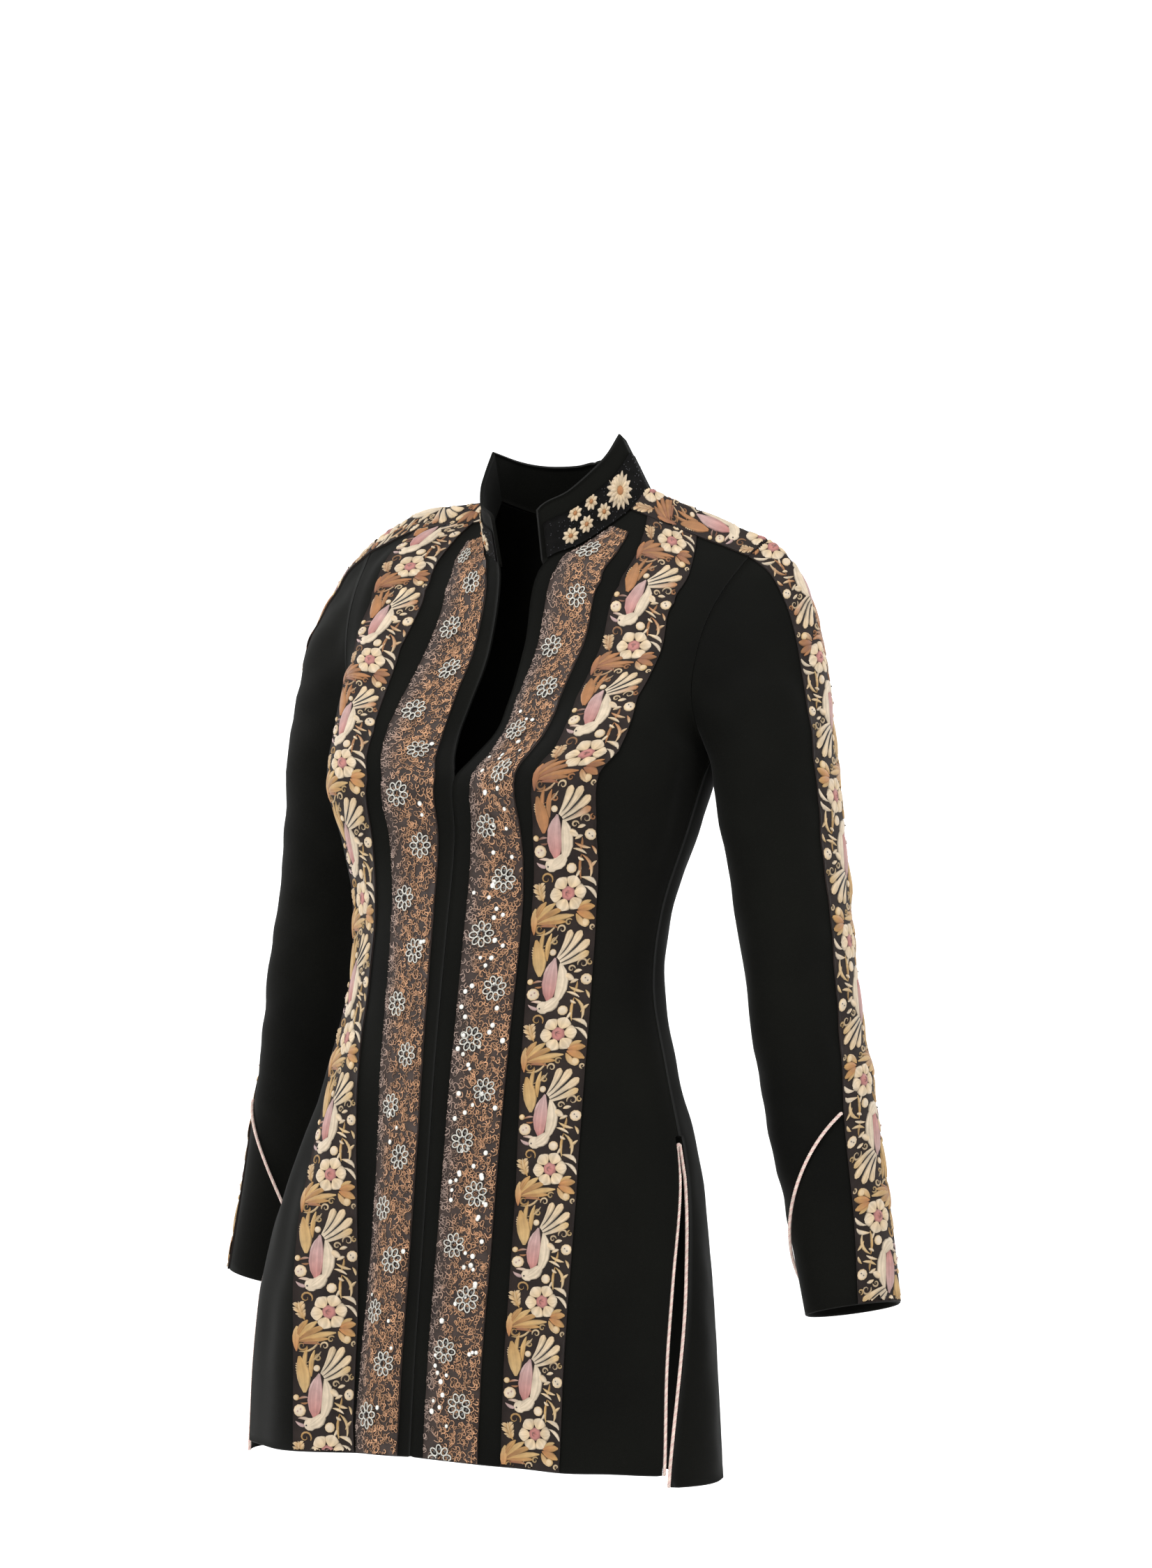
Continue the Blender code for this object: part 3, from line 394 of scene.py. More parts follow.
def arm_point(down, angle):
    """angle 0 is the outer line, 90 the front, 180 the underarm seam and 270 the back."""
    ring, _, outer, front = arm_frame(down)
    a = math.radians(angle)
    centre = np.array([ring.x, ring.y, ring.z])
    return centre + outer * ring.half_width * math.cos(a) + front * ring.half_depth * math.sin(a)


def cap_point(share, angle, start):
    """From an armhole point (0) to the first ring of the arm (1)."""
    end = arm_point(0, angle)
    axis = arm_frame(0)[1]
    top = math.cos(math.radians(angle) / 2) ** 2
    leave = top * np.array([0.88, 0, -0.47]) + (1 - top) * np.array([0.45, 0, -0.90])
    leave /= np.linalg.norm(leave)
    gap = np.linalg.norm(end - start)
    near, far = start + leave * gap * CAP_REACH, end - axis * gap * CAP_DROP
    t = share
    return (1 - t) ** 3 * start + 3 * (1 - t) ** 2 * t * near + 3 * (1 - t) * t**2 * far + t**3 * end


def cuff_height(angle):
    """Height of the cuff seam above the cuff hem, falling from its point to the underarm."""
    fall = abs(math.cos(math.radians(angle) / 2)) ** CUFF_SWEEP
    return CUFF_LOW + (CUFF_POINT - CUFF_LOW) * fall


def sleeve_angles(armhole, half, down):
    """Angles of the sleeve's columns. The first three keep the band's width along the arm."""
    run = run_along(armhole)
    shares = run / run[-1]
    ring = arm_frame(down)[0]
    edge = 0.5 * BIRD_WIDTH / (0.5 * (ring.half_width + ring.half_depth))
    edge_share = math.degrees(edge) / 180
    band_share = shares[BAND_TOP_ROW * ROW_FINE]
    inside = shares <= shares[BAND_TOP_ROW * ROW_FINE]
    stretched = np.where(
        inside, shares * edge_share / band_share,
        edge_share + (shares - band_share) * (1 - edge_share) / (1 - band_share))
    angles = 180 * stretched
    return angles if half == "front" else 360 - angles


def sleeve_grid(armhole, half):
    """Rows from the armhole down to the cuff seam, columns from the outer line to the underarm."""
    rows = []
    for i in range(CAP_ROWS * ROW_FINE):
        angles = sleeve_angles(armhole, half, 0)
        rows.append([cap_point(i / (CAP_ROWS * ROW_FINE), a, p) for a, p in zip(angles, armhole)])
    for share in np.linspace(0, 1, ARM_ROWS * ROW_FINE + 1):
        low = 1 - cuff_height(90) / SLEEVE_LENGTH
        angles = sleeve_angles(armhole, half, share * low)
        rows.append([arm_point(share * (1 - cuff_height(a) / SLEEVE_LENGTH), a) for a in angles])
    return np.array(rows)


def cuff_grid(armhole, half):
    """Rows from the cuff seam down to the hem."""
    rows = []
    for share in np.linspace(0, 1, CUFF_ROWS * ROW_FINE + 1):
        angles = sleeve_angles(armhole, half, 1 - cuff_height(90) / SLEEVE_LENGTH)
        rows.append([arm_point(1 - (1 - share) * cuff_height(a) / SLEEVE_LENGTH, a) for a in angles])
    return np.array(rows)


# %% The collar
def neckline(front, back):
    """Half the neck seam, from the slit over the shoulder-neck point to the centre back."""
    v_row = FRONT_ARM_LEVELS.index(V_TOP_Z) * ROW_FINE
    back_row = BACK_ARM_LEVELS.index(-0.092) * ROW_FINE
    return np.concatenate([front[:v_row + 1, 0][::-1], back[1:back_row + 1, 0]])


def collar_grid(left_seam, right_seam):
    """Rows up from the neck seam, columns from the left slit edge round the back to the right."""
    seam = np.concatenate([left_seam, right_seam[::-1][1:]])
    run = run_along(seam)
    middle = seam.mean(axis=0)
    rows = []
    for share in np.linspace(0, 1, COLLAR_ROWS * COLUMN_FINE + 1):
        row = []
        for point, s in zip(seam, run / run[-1]):
            back_share = math.sin(math.pi * s)
            height = COLLAR_HEIGHT_FRONT + (COLLAR_HEIGHT_BACK - COLLAR_HEIGHT_FRONT) * back_share
            to_right = smooth_step((s - 0.45) / 0.25)
            height *= 1 + (COLLAR_RIGHT_SHARE - 1) * to_right
            lean = COLLAR_LEAN + (COLLAR_LEAN_RIGHT - COLLAR_LEAN) * to_right
            inward = middle[:2] - point[:2]
            inward /= np.linalg.norm(inward)
            row.append(point + share * height * np.array([
                inward[0] * lean, inward[1] * lean - COLLAR_AHEAD, 1.0]))
        rows.append(row)
    return np.array(rows)


def mirrored(grid):
    """The wearer's right side, with its shoulder carried higher."""
    grow = smooth_step((grid[..., 0] - RIGHT_START_X) / RIGHT_WIDE)
    grow = grow * smooth_step((grid[..., 2] - RIGHT_LOW_Z) / RIGHT_TALL)
    raised = grid + grow[..., None] * np.array(RIGHT_SHOULDER)
    z = grid[..., 2]
    stand = np.interp(-z, (0.46, 0.50, 0.55, 0.60, 0.73),
                      (0, 0.3 * RIGHT_SKIRT, 0.8 * RIGHT_SKIRT, RIGHT_SKIRT, RIGHT_SKIRT_HEM))
    in_skirt = (grid[..., 0] < SKIRT_REACH_X) | (z < SKIRT_FREE_Z)
    raised[..., 0] += np.where(in_skirt, stand * smooth_step((grid[..., 0] - SKIRT_START_X) / SKIRT_WIDE), 0)
    return raised * np.array([-1, 1, 1])


# %% [markdown]
# ## Every cut piece as a fine grid
# The same calls as in the CAD give one grid of points for each piece that a maker cuts. Neighbours
# share the points of their seam, so the velvet meets along it. Normals come from the grid itself.

# %% Grids of the panels, sleeves and cuffs
BODY_Y, ARM_X, ARM_Y = -0.06, 0.21, -0.027   # lines inside the body and the arm
ARM_END = (len(FRONT_ARM_LEVELS) - 1) * ROW_FINE
VENT_ROW = (len(FRONT_ARM_LEVELS) + SIDE_LEVELS.index(VENT_STEP_Z)) * ROW_FINE


def normals_over(grid, outward, closed=False):
    """Unit normals of a grid of points, turned the way that outward says."""
    down = np.gradient(grid, axis=0)
    if closed:
        across = (np.roll(grid, -1, axis=1) - np.roll(grid, 1, axis=1)) / 2
    else:
        across = np.gradient(grid, axis=1)
    normal = unit(np.cross(down, across))
    return normal if np.sum(normal * outward(grid)) > 0 else -normal


def from_line(x, y, z=None):
    """Outward from an upright line, or from a point when z is given."""
    def outward(points):
        out = points - np.array([x, y, z or 0.0])
        if z is None:
            out[..., 2] = 0
        return out
    return outward


grids, seams = {}, {}
for wearer, sign in (("left", 1), ("right", -1)):
    place = (lambda grid: grid) if sign > 0 else mirrored
    front, back = panel_grid("front", wearer), panel_grid("back", wearer)
    back[0] = front[0]
    back[ARM_END:VENT_ROW + 1, -1] = front[ARM_END:VENT_ROW + 1, -1]
    grids[f"front_{wearer}"], grids[f"back_{wearer}"] = place(front), place(back)
    seams[wearer] = place(neckline(front, back))
    for half, panel in (("front", front), ("back", back)):
        hole = panel[:ARM_END + 1, -1]
        grids[f"sleeve_{wearer}_{half}"] = place(sleeve_grid(hole, half))
        grids[f"cuff_{wearer}_{half}"] = place(cuff_grid(hole, half))
grids["collar"] = collar_grid(seams["left"], seams["right"])
print({name: grid.shape[:2] for name, grid in grids.items()})

# %% [markdown]
# ## Folds
# Velvet is heavy and soft. On this jacket it hangs in long shallow folds on the skirt and drags a
# little at the elbow. A fold is a small push along the normal, made from a few sine waves with a
# fixed seed. It fades out towards every edge of a piece, so that the seams still meet.

# %% A push along the normals that fades at the edges
FOLD_FADE = 0.022


def ripple(points, wave, seed, squash=(1, 1, 1), count=6):
    """A smooth uneven surface pattern between about -1 and 1."""
    draw = np.random.default_rng(seed)
    total = np.zeros(points.shape[:-1])
    for _ in range(count):
        way = draw.normal(size=3) * squash
        way *= draw.uniform(0.75, 1.35) / np.linalg.norm(way)
        total += np.sin(points @ way * 2 * math.pi / wave + draw.uniform(0, 2 * math.pi))
    return total / math.sqrt(2 * count)


def steps_along(grid, axis):
    """Lengths of the steps from point to point along the grid's rows (1) or columns (0)."""
    return np.linalg.norm(np.diff(grid, axis=axis), axis=-1)


def from_edges(grid):
    """Distance of every point from the nearest edge, along its row or column."""
    down, across = np.cumsum(steps_along(grid, 0), axis=0), np.cumsum(steps_along(grid, 1), axis=1)
    down, across = np.pad(down, ((1, 0), (0, 0))), np.pad(across, ((0, 0), (1, 0)))
    return np.minimum(np.minimum(down, down[-1:] - down), np.minimum(across, across[:, -1:] - across))


Fold = namedtuple("Fold", "wave depth seed squash")
FOLDS = {
    "front": (Fold(0.060, 0.0013, 3, (1, 1, 0.12)), Fold(0.030, 0.0005, 4, (1, 1, 0.5))),
    "back": (Fold(0.080, 0.0016, 5, (1, 1, 0.12)), Fold(0.035, 0.0005, 6, (1, 1, 0.6))),
    "sleeve": (Fold(0.055, 0.0014, 7, (0.6, 0.6, 1)), Fold(0.028, 0.0006, 8, (0.8, 0.8, 1))),
}
for name, grid in grids.items():
    kind = name.split("_")[0]
    if kind not in FOLDS:
        continue
    out = from_line(0.0, BODY_Y) if kind != "sleeve" else from_line(
        math.copysign(ARM_X, grid[..., 0].mean()), ARM_Y)
    push = sum(f.depth * ripple(grid, f.wave, f.seed, f.squash) for f in FOLDS[kind])
    push *= smooth_step(from_edges(grid) / FOLD_FADE)
    grids[name] = grid + normals_over(grid, out) * push[..., None]


# %% [markdown]
# ## Cloth as a closed wall with a rolled edge
# Cloth is made as two layers a thickness apart, joined round the border by a rim. Where an edge is
# turned and free, the rim's middle bulges, as a folded edge does. At a seam it stays flat.

# %% The wall maker
def mesh_piece(name, points, faces, look=None):
    """A named, smoothly shaded mesh object in the scene."""
    mesh = bpy.data.meshes.new(name)
    mesh.from_pydata([tuple(p) for p in points], [], [tuple(f) for f in faces])
    thing = bpy.data.objects.new(name, mesh)
    bpy.context.scene.collection.objects.link(thing)
    if look:
        mesh.materials.append(look)
    mesh.shade_smooth()
    return thing


def border_of(index, closed):
    """Loops of point numbers round the border of a grid."""
    if closed:
        return [index[0], index[-1][::-1]]
    loop = np.concatenate([index[0, ::-1], index[1:, 0], index[-1, 1:], index[-2:0:-1, -1]])
    return [loop]


def cloth(name, grid, normals, thickness, look, lift=0.0, closed=False, roll=None):
    """A cloth wall. roll is how far each grid point's rim bulges, for the points on the border."""
    rows, columns = grid.shape[:2]
    count = rows * columns
    outer = (grid + normals * lift).reshape(-1, 3)
    inner = (grid + normals * (lift - thickness)).reshape(-1, 3)
    index = np.arange(count).reshape(rows, columns)
    wide = np.concatenate([index, index[:, :1]], axis=1) if closed else index
    cells = np.stack([wide[:-1, :-1], wide[1:, :-1], wide[1:, 1:], wide[:-1, 1:]], axis=-1).reshape(-1, 4)
    a, b, c = (outer[cells[:, k]] for k in range(3))
    ahead = np.sum(np.cross(b - a, c - b) * normals.reshape(-1, 3)[cells[:, 0]]) > 0
    faces = [cells if ahead else cells[:, ::-1], (cells[:, ::-1] if ahead else cells) + count]
    points = [outer, inner]
    made = 2 * count
    centre = np.concatenate([outer, inner]).mean(axis=0)
    for loop in border_of(index, closed):
        here, after = loop, np.roll(loop, -1)
        ahead_point, behind = outer[np.roll(loop, -1)], outer[np.roll(loop, 1)]
        side = unit(np.cross(ahead_point - behind, normals.reshape(-1, 3)[loop]))
        if not closed and np.sum(side * (outer[loop] - centre)) < 0:
            side = -side
        bulge = 0.0 if roll is None else roll.reshape(-1)[loop][:, None]
        points.append((outer[loop] + inner[loop]) / 2 + side * bulge)
        middle = made + np.arange(len(loop))
        after_middle = np.roll(middle, -1)
        made += len(loop)
        rim = np.concatenate([np.stack([here, after, after_middle, middle], axis=-1),
                              np.stack([middle, after_middle, after + count, here + count], axis=-1)])
        faces.append(rim if ahead else rim[:, ::-1])
    return mesh_piece(name, np.concatenate(points), np.concatenate(faces).tolist(), look)


def flat_size(grid):
    """Width, length and area that a grid of cloth was cut to."""
    wide, long = steps_along(grid, 1).sum(axis=1).max(), steps_along(grid, 0).sum(axis=0).max()
    side, down = grid[:-1, 1:] - grid[:-1, :-1], grid[1:, :-1] - grid[:-1, :-1]
    other_side, other_down = grid[1:, :-1] - grid[1:, 1:], grid[:-1, 1:] - grid[1:, 1:]
    area = 0.5 * (np.linalg.norm(np.cross(side, down), axis=-1).sum()
                  + np.linalg.norm(np.cross(other_side, other_down), axis=-1).sum())
    return round(float(wide), 4), round(float(long), 4), round(float(area), 5)


# %% [markdown]
# ## Velvet, ribbon and thread
# Velvet is dark because its pile swallows light, and it glows only where the pile is seen from the
# side. A high roughness with sheen does that. A shader group holds what all the cloths share: an
# uneven shade and the height of the grain. Each material places it with its own scale.

# %% A shader group for the grain of cloth
def grain_group():
    group = bpy.data.node_groups.new("cloth_grain", "ShaderNodeTree")
    face = group.interface
    face.new_socket("Place", in_out="INPUT", socket_type="NodeSocketVector")
    for label, value in (("Grain Scale", 900.0), ("Patch Scale", 12.0), ("Low", 0.8), ("High", 1.2)):
        face.new_socket(label, in_out="INPUT", socket_type="NodeSocketFloat").default_value = value
    face.new_socket("Shade", in_out="OUTPUT", socket_type="NodeSocketFloat")
    face.new_socket("Height", in_out="OUTPUT", socket_type="NodeSocketFloat")
    nodes, links = group.nodes, group.links
    into, out = nodes.new("NodeGroupInput"), nodes.new("NodeGroupOutput")
    fine, patch = nodes.new("ShaderNodeTexNoise"), nodes.new("ShaderNodeTexNoise")
    fine.inputs["Detail"].default_value, patch.inputs["Detail"].default_value = 2.0, 3.0
    both, span = nodes.new("ShaderNodeMath"), nodes.new("ShaderNodeMapRange")
    both.operation = "MULTIPLY_ADD"
    both.inputs[1].default_value = 0.25
    links.new(into.outputs["Place"], fine.inputs["Vector"])
    links.new(into.outputs["Place"], patch.inputs["Vector"])
    links.new(into.outputs["Grain Scale"], fine.inputs["Scale"])
    links.new(into.outputs["Patch Scale"], patch.inputs["Scale"])
    links.new(fine.outputs["Fac"], both.inputs[0])
    links.new(patch.outputs["Fac"], both.inputs[2])
    links.new(both.outputs[0], span.inputs["Value"])
    span.inputs["From Min"].default_value, span.inputs["From Max"].default_value = 0.35, 0.90
    links.new(into.outputs["Low"], span.inputs["To Min"])
    links.new(into.outputs["High"], span.inputs["To Max"])
    links.new(span.outputs["Result"], out.inputs["Shade"])
    links.new(fine.outputs["Fac"], out.inputs["Height"])
    return group


GRAIN = grain_group()

# %% Materials made from the group
def cloth_look(name, colour, roughness, grain=900.0, patch=12.0, low=0.8, high=1.2, bump=0.2,
               tint=None, **sockets):
    """A cloth material. tint names a colour attribute that replaces the plain colour."""
    made = bpy.data.materials.new(name)
    made.use_nodes = True
    nodes, links = made.node_tree.nodes, made.node_tree.links
    shader = nodes["Principled BSDF"]
    shader.inputs["Roughness"].default_value = roughness
    for socket, value in sockets.items():
        shader.inputs[socket.replace("_", " ")].default_value = value
    place, group = nodes.new("ShaderNodeTexCoord"), nodes.new("ShaderNodeGroup")
    group.node_tree = GRAIN
    for label, value in (("Grain Scale", grain), ("Patch Scale", patch), ("Low", low), ("High", high)):
        group.inputs[label].default_value = value
    links.new(place.outputs["Object"], group.inputs["Place"])
    scale = nodes.new("ShaderNodeVectorMath")
    scale.operation = "SCALE"
    if tint:
        source = nodes.new("ShaderNodeAttribute")
        source.attribute_name = tint
        links.new(source.outputs["Color"], scale.inputs[0])
    else:
        scale.inputs[0].default_value = colour
    links.new(group.outputs["Shade"], scale.inputs["Scale"])
    links.new(scale.outputs[0], shader.inputs["Base Color"])
    height = nodes.new("ShaderNodeBump")
    height.inputs["Strength"].default_value = bump
    height.inputs["Distance"].default_value = 0.0004
    links.new(group.outputs["Height"], height.inputs["Height"])
    links.new(height.outputs["Normal"], shader.inputs["Normal"])
    return made


looks = {
    "velvet": cloth_look("black_velvet", (0.0021, 0.0022, 0.0015), 0.9, grain=1500, patch=11, low=0.6,
                         high=1.5, bump=0.35, Sheen_Weight=0.032, Sheen_Roughness=0.38,
                         Sheen_Tint=(0.62, 0.63, 0.62, 1), Specular_IOR_Level=0.10),
    "ribbon": cloth_look("gauze_ribbon", (0.030, 0.019, 0.015), 0.62, grain=1300, patch=90, low=0.5,
                         high=1.5, bump=0.5, Specular_IOR_Level=0.3),
    "band": cloth_look("band_ground", (0.014, 0.009, 0.0075), 0.75, grain=1600, patch=60, low=0.6,
                       high=1.5, bump=0.4, Sheen_Weight=0.02, Specular_IOR_Level=0.18),
    "patch": cloth_look("collar_net", (0.0026, 0.0025, 0.0024), 0.85, grain=1500, patch=150, low=0.4,
                        high=1.9, bump=0.6, Specular_IOR_Level=0.10),
    "thread": cloth_look("silk_thread", None, 0.52, grain=2200, patch=160, low=0.80, high=1.16,
                         bump=0.35, tint="tint", Sheen_Weight=0.05, Specular_IOR_Level=0.35),
    "wire": cloth_look("metal_purl", None, 0.40, grain=2500, patch=300, low=0.7, high=1.25, bump=0.3,
                       tint="tint", Metallic=0.35),
}


def hand_over(thing, slot, *nodes):
    """The piece rides on the body and stands for its CAD nodes; slot is not used."""
    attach(thing, "root")
    if nodes:
        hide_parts(*nodes)
    return thing


sheets = []


def as_sheet(thing, grid, held, rests_on):
    wide, long, area = flat_size(grid)
    sheets.append((thing, grid, held, rests_on))
    print(f"{thing.name}: cut {wide * 1000:.0f} x {long * 1000:.0f} mm, area {area * 1e4:.0f} cm2")


def drawn_short(grid, edges, amount):
    """The named edges moved towards their neighbours, by the amount."""
    grid = grid.copy()
    for edge in edges:
        view = {"first": grid, "last": grid[::-1], "left": grid.transpose(1, 0, 2),
                "right": grid.transpose(1, 0, 2)[::-1]}[edge]
        view[0] += unit(view[1] - view[0]) * amount
    return grid


# %% Torso, sleeves and cuffs
TURNED = 0.0007          # bulge of a turned edge
SLIT_X = 0.003           # the front edges stand apart where they lie further out than this
normals = {}
for name, grid in grids.items():
    kind = name.split("_")[0]
    out = {"front": from_line(0.0, BODY_Y), "back": from_line(0.0, BODY_Y),
           "collar": from_line(0.0, -0.01)}.get(
        kind, from_line(math.copysign(ARM_X, grid[..., 0].mean()), ARM_Y))
    normals[name] = normals_over(grid, out)
    if kind == "cuff" or name == "collar":
        continue
    roll = np.zeros(grid.shape[:2])
    if kind in ("front", "back"):
        roll[-1] = TURNED
        roll[VENT_ROW + 3:, -1] = TURNED * 0.5
    if kind == "front":
        roll[:, 0] = np.where(np.abs(grid[:, 0, 0]) > SLIT_X, TURNED, 0)
    edges = ("first", "left", "right") + (("last",) if kind == "sleeve" else ())
    piece = cloth(f"velvet_{name}", drawn_short(grid, edges, SEAM_HALF), normals[name], VELVET,
                  looks["velvet"], roll=roll)
    as_sheet(hand_over(piece, "velvet", name), grid, "stretched", [])

for wearer in ("left", "right"):
    halves = grids[f"cuff_{wearer}_front"], grids[f"cuff_{wearer}_back"]
    cuff = np.concatenate([halves[0], halves[1][:, ::-1][:, 1:-1]], axis=1)
    out = from_line(math.copysign(0.26, cuff[..., 0].mean()), -0.034)
    roll = np.zeros(cuff.shape[:2])
    roll[-1] = TURNED
    piece = cloth(f"velvet_cuff_{wearer}", drawn_short(cuff, ("first",), SEAM_HALF),
                  normals_over(cuff, out, closed=True), VELVET, looks["velvet"], closed=True, roll=roll)
    as_sheet(hand_over(piece, "velvet", f"cuff_{wearer}"), np.concatenate([cuff, cuff[:, :1]], axis=1),
             "stretched", [])


# %% The stand collar
# its lower edge reaches a little past the neck seam, so that no light comes through
COLLAR_PAST_SEAM = 0.0003
collar = grids["collar"]
roll = np.full(collar.shape[:2], TURNED * 1.5)
roll[0] = 0
piece = cloth("velvet_collar", drawn_short(collar, ("first",), -COLLAR_PAST_SEAM), normals["collar"],
              COLLAR_CLOTH, looks["velvet"], roll=roll)
as_sheet(hand_over(piece, "velvet", "collar"), collar, "stretched", [])

# %% [markdown]
# ## The grounds of the bands
# The ribbons, the embroidered bands and the collar's patches lie on the velvet, so each is cut from
# the grid of the piece below it and lifted by the gap and its own thickness.

# %% Ribbons, bird bands, shoulder bands, sleeve bands and collar patches
LIFT = LAY_GAP + BAND_CLOTH
PATCH_SHORT = 0.0015     # between the patch's lower edge and the neck seam
band_grids = {}
for wearer in ("left", "right"):
    front, back = grids[f"front_{wearer}"], grids[f"back_{wearer}"]
    facing = normals[f"front_{wearer}"]
    first, last = RIBBON_COLUMNS[0] * COLUMN_FINE, RIBBON_COLUMNS[-1] * COLUMN_FINE + 1
    top = RIBBON_TOP_ROW * ROW_FINE
    band_grids[f"ribbon_{wearer}"] = front[top:, first:last], facing[top:, first:last]
    first, last = BIRD_COLUMNS[0] * COLUMN_FINE, BIRD_COLUMNS[-1] * COLUMN_FINE + 1
    top = BAND_TOP_ROW * ROW_FINE
    band_grids[f"bird_band_{wearer}"] = front[top:, first:last], facing[top:, first:last]
    shoulder = np.concatenate([front[:top + 1][::-1], back[1:top + 1]])
    band_grids[f"shoulder_band_{wearer}"] = shoulder, normals_over(shoulder, from_line(0, -0.03, -0.5))
    whole = {half: np.concatenate([grids[f"sleeve_{wearer}_{half}"], grids[f"cuff_{wearer}_{half}"][1:]])
             for half in ("front", "back")}
    sleeve = np.concatenate([whole["front"][:, :top + 1][:, ::-1], whole["back"][:, 1:top + 1]], axis=1)
    out = from_line(math.copysign(0.15, sleeve[..., 0].mean()), -0.027, -0.35)
    band_grids[f"sleeve_band_{wearer}"] = sleeve, normals_over(sleeve, out)
ends = {"ribbon": (), "bird": ("first",), "shoulder": ("first", "left", "right"), "sleeve": ("first",)}
for name, (grid, facing) in band_grids.items():
    kind = name.split("_")[0]
    look = "ribbon" if kind == "ribbon" else "band"
    wearer = name.split("_")[-1]
    below = f"velvet_sleeve_{wearer}_front" if kind == "sleeve" else f"velvet_front_{wearer}"
    piece = cloth(f"{name}_ground", drawn_short(grid, ends[kind], SEAM_HALF), facing, BAND_CLOTH,
                  looks[look], lift=LIFT)
    as_sheet(hand_over(piece, look, name), grid, "laid", [below])

for wearer, sign in (("left", 1), ("right", -1)):
    grid, facing = collar[:, ::sign], normals["collar"][:, ::sign]
    first, last = PATCH_COLUMNS[0] * ROW_FINE + 1, PATCH_COLUMNS[1] * ROW_FINE + 1
    low, high = PATCH_ROWS[0], PATCH_ROWS[1] * COLUMN_FINE + 1
    patch, facing = grid[low:high, first:last], facing[low:high, first:last]
    band_grids[f"collar_patch_{wearer}"] = patch, facing
    piece = cloth(f"collar_patch_{wearer}_ground", drawn_short(patch, ("first",), PATCH_SHORT), facing,
                  PATCH_CLOTH, looks["patch"], lift=LAY_GAP + PATCH_CLOTH)
    as_sheet(hand_over(piece, "patch", f"collar_patch_{wearer}"), patch, "laid", ["velvet_collar"])


# %% [markdown]
# ## Twisted cord on the vents and cuffs
# The piping is a thin cord of pinkish-white strands twisted round each other. Each strand is a tube
# on a helix round the cord's path, so the twist shows as real ridges.

# %% Paths of the cords
Cord = namedtuple("Cord", "name node path sideways")
CUFF_CORD_POINTS = 40
VENT_CORD_DROP = 0.003   # the arch over a vent starts this far below its top
cords = []
for wearer in ("left", "right"):
    edge = BAND_TOP_ROW * ROW_FINE
    for half in ("front", "back"):
        seam = grids[f"sleeve_{wearer}_{half}"][-1][edge:]
        facing = normals[f"sleeve_{wearer}_{half}"][-1][edge:]
        run = run_along(seam)
        reach = SEAM_HALF + 2 * PIPING_RADIUS
        places = np.linspace(reach, run[-1] - reach, CUFF_CORD_POINTS)
        facing = read_along(facing, run, places)
        cords.append(Cord(f"cuff_cord_{wearer}_{half}", f"cuff_piping_{wearer}_{half}",
                          read_along(seam, run, places) + facing * (PIPING_RADIUS + LAY_GAP), facing))
    start = (len(FRONT_ARM_LEVELS) + SIDE_LEVELS.index(VENT_TOP_Z)) * ROW_FINE
    lines, outs = [], []
    for panel in ("front", "back"):
        grid, facing = grids[f"{panel}_{wearer}"][start:], normals[f"{panel}_{wearer}"][start:, -1]
        side = unit(grid[:, -1] - grid[:, -3])
        line = grid[:, -1] - facing * VELVET / 2 + side * (PIPING_RADIUS + LAY_GAP)
        line[0, 2] -= VENT_CORD_DROP
        # the two points below the first are left out, for a smooth arch
        lines.append(np.delete(line, (1, 2), axis=0))
        outs.append(np.delete(facing, (1, 2), axis=0))
    middle, half_gap = (lines[0][0] + lines[1][0]) / 2, (lines[0][0] - lines[1][0]) / 2
    rise = np.array([0, 0, np.linalg.norm(half_gap)])
    arch = [middle + half_gap * math.cos(a) + rise * math.sin(a) for a in np.linspace(0, math.pi, 9)[1:-1]]
    path = np.concatenate([lines[0][::-1], arch, lines[1]])
    sideways = np.concatenate([outs[0][::-1], [outs[0][0]] * len(arch), outs[1]])
    cords.append(Cord(f"vent_cord_{wearer}", f"vent_piping_{wearer}", path, sideways))
print({c.name: round(float(run_along(c.path)[-1]), 3) for c in cords})

# %% Strands twisted round each path
STRAND_TINTS = ((0.66, 0.52, 0.46), (0.62, 0.42, 0.38), (0.70, 0.58, 0.50))
STRAND_SIDES, CORD_TWIST, STEPS_A_TWIST = 5, 0.0052, 10
STRAND_RADIUS, STRAND_OUT = 0.56 * PIPING_RADIUS, 0.52 * PIPING_RADIUS


def tube(path, radius, sides, across=None):
    """Points and quads of a closed tube round a path."""
    along = unit(np.gradient(path, axis=0))
    hint = np.array([0.0, 0.0, 1.0]) if across is None else across
    side = unit(np.cross(along, np.broadcast_to(hint, along.shape)))
    up = np.cross(side, along)
    radius = np.broadcast_to(radius, len(path))[:, None]
    turns = np.arange(sides) * 2 * math.pi / sides
    rings = np.stack([path + radius * (side * math.cos(a) + up * math.sin(a)) for a in turns], axis=1)
    count = len(path)
    i, j = np.meshgrid(np.arange(count - 1), np.arange(sides), indexing="ij")
    k = (j + 1) % sides
    quads = np.stack([i * sides + j, i * sides + k, (i + 1) * sides + k, (i + 1) * sides + j], axis=-1)
    return rings.reshape(-1, 3), quads.reshape(-1, 4)


def keep_tints(mesh, tints):
    """Keeps a thread colour for each point."""
    kept = mesh.attributes.new("tint", "FLOAT_COLOR", "POINT")
    kept.data.foreach_set("color", np.concatenate([tints, np.ones((len(tints), 1))], axis=1).ravel())


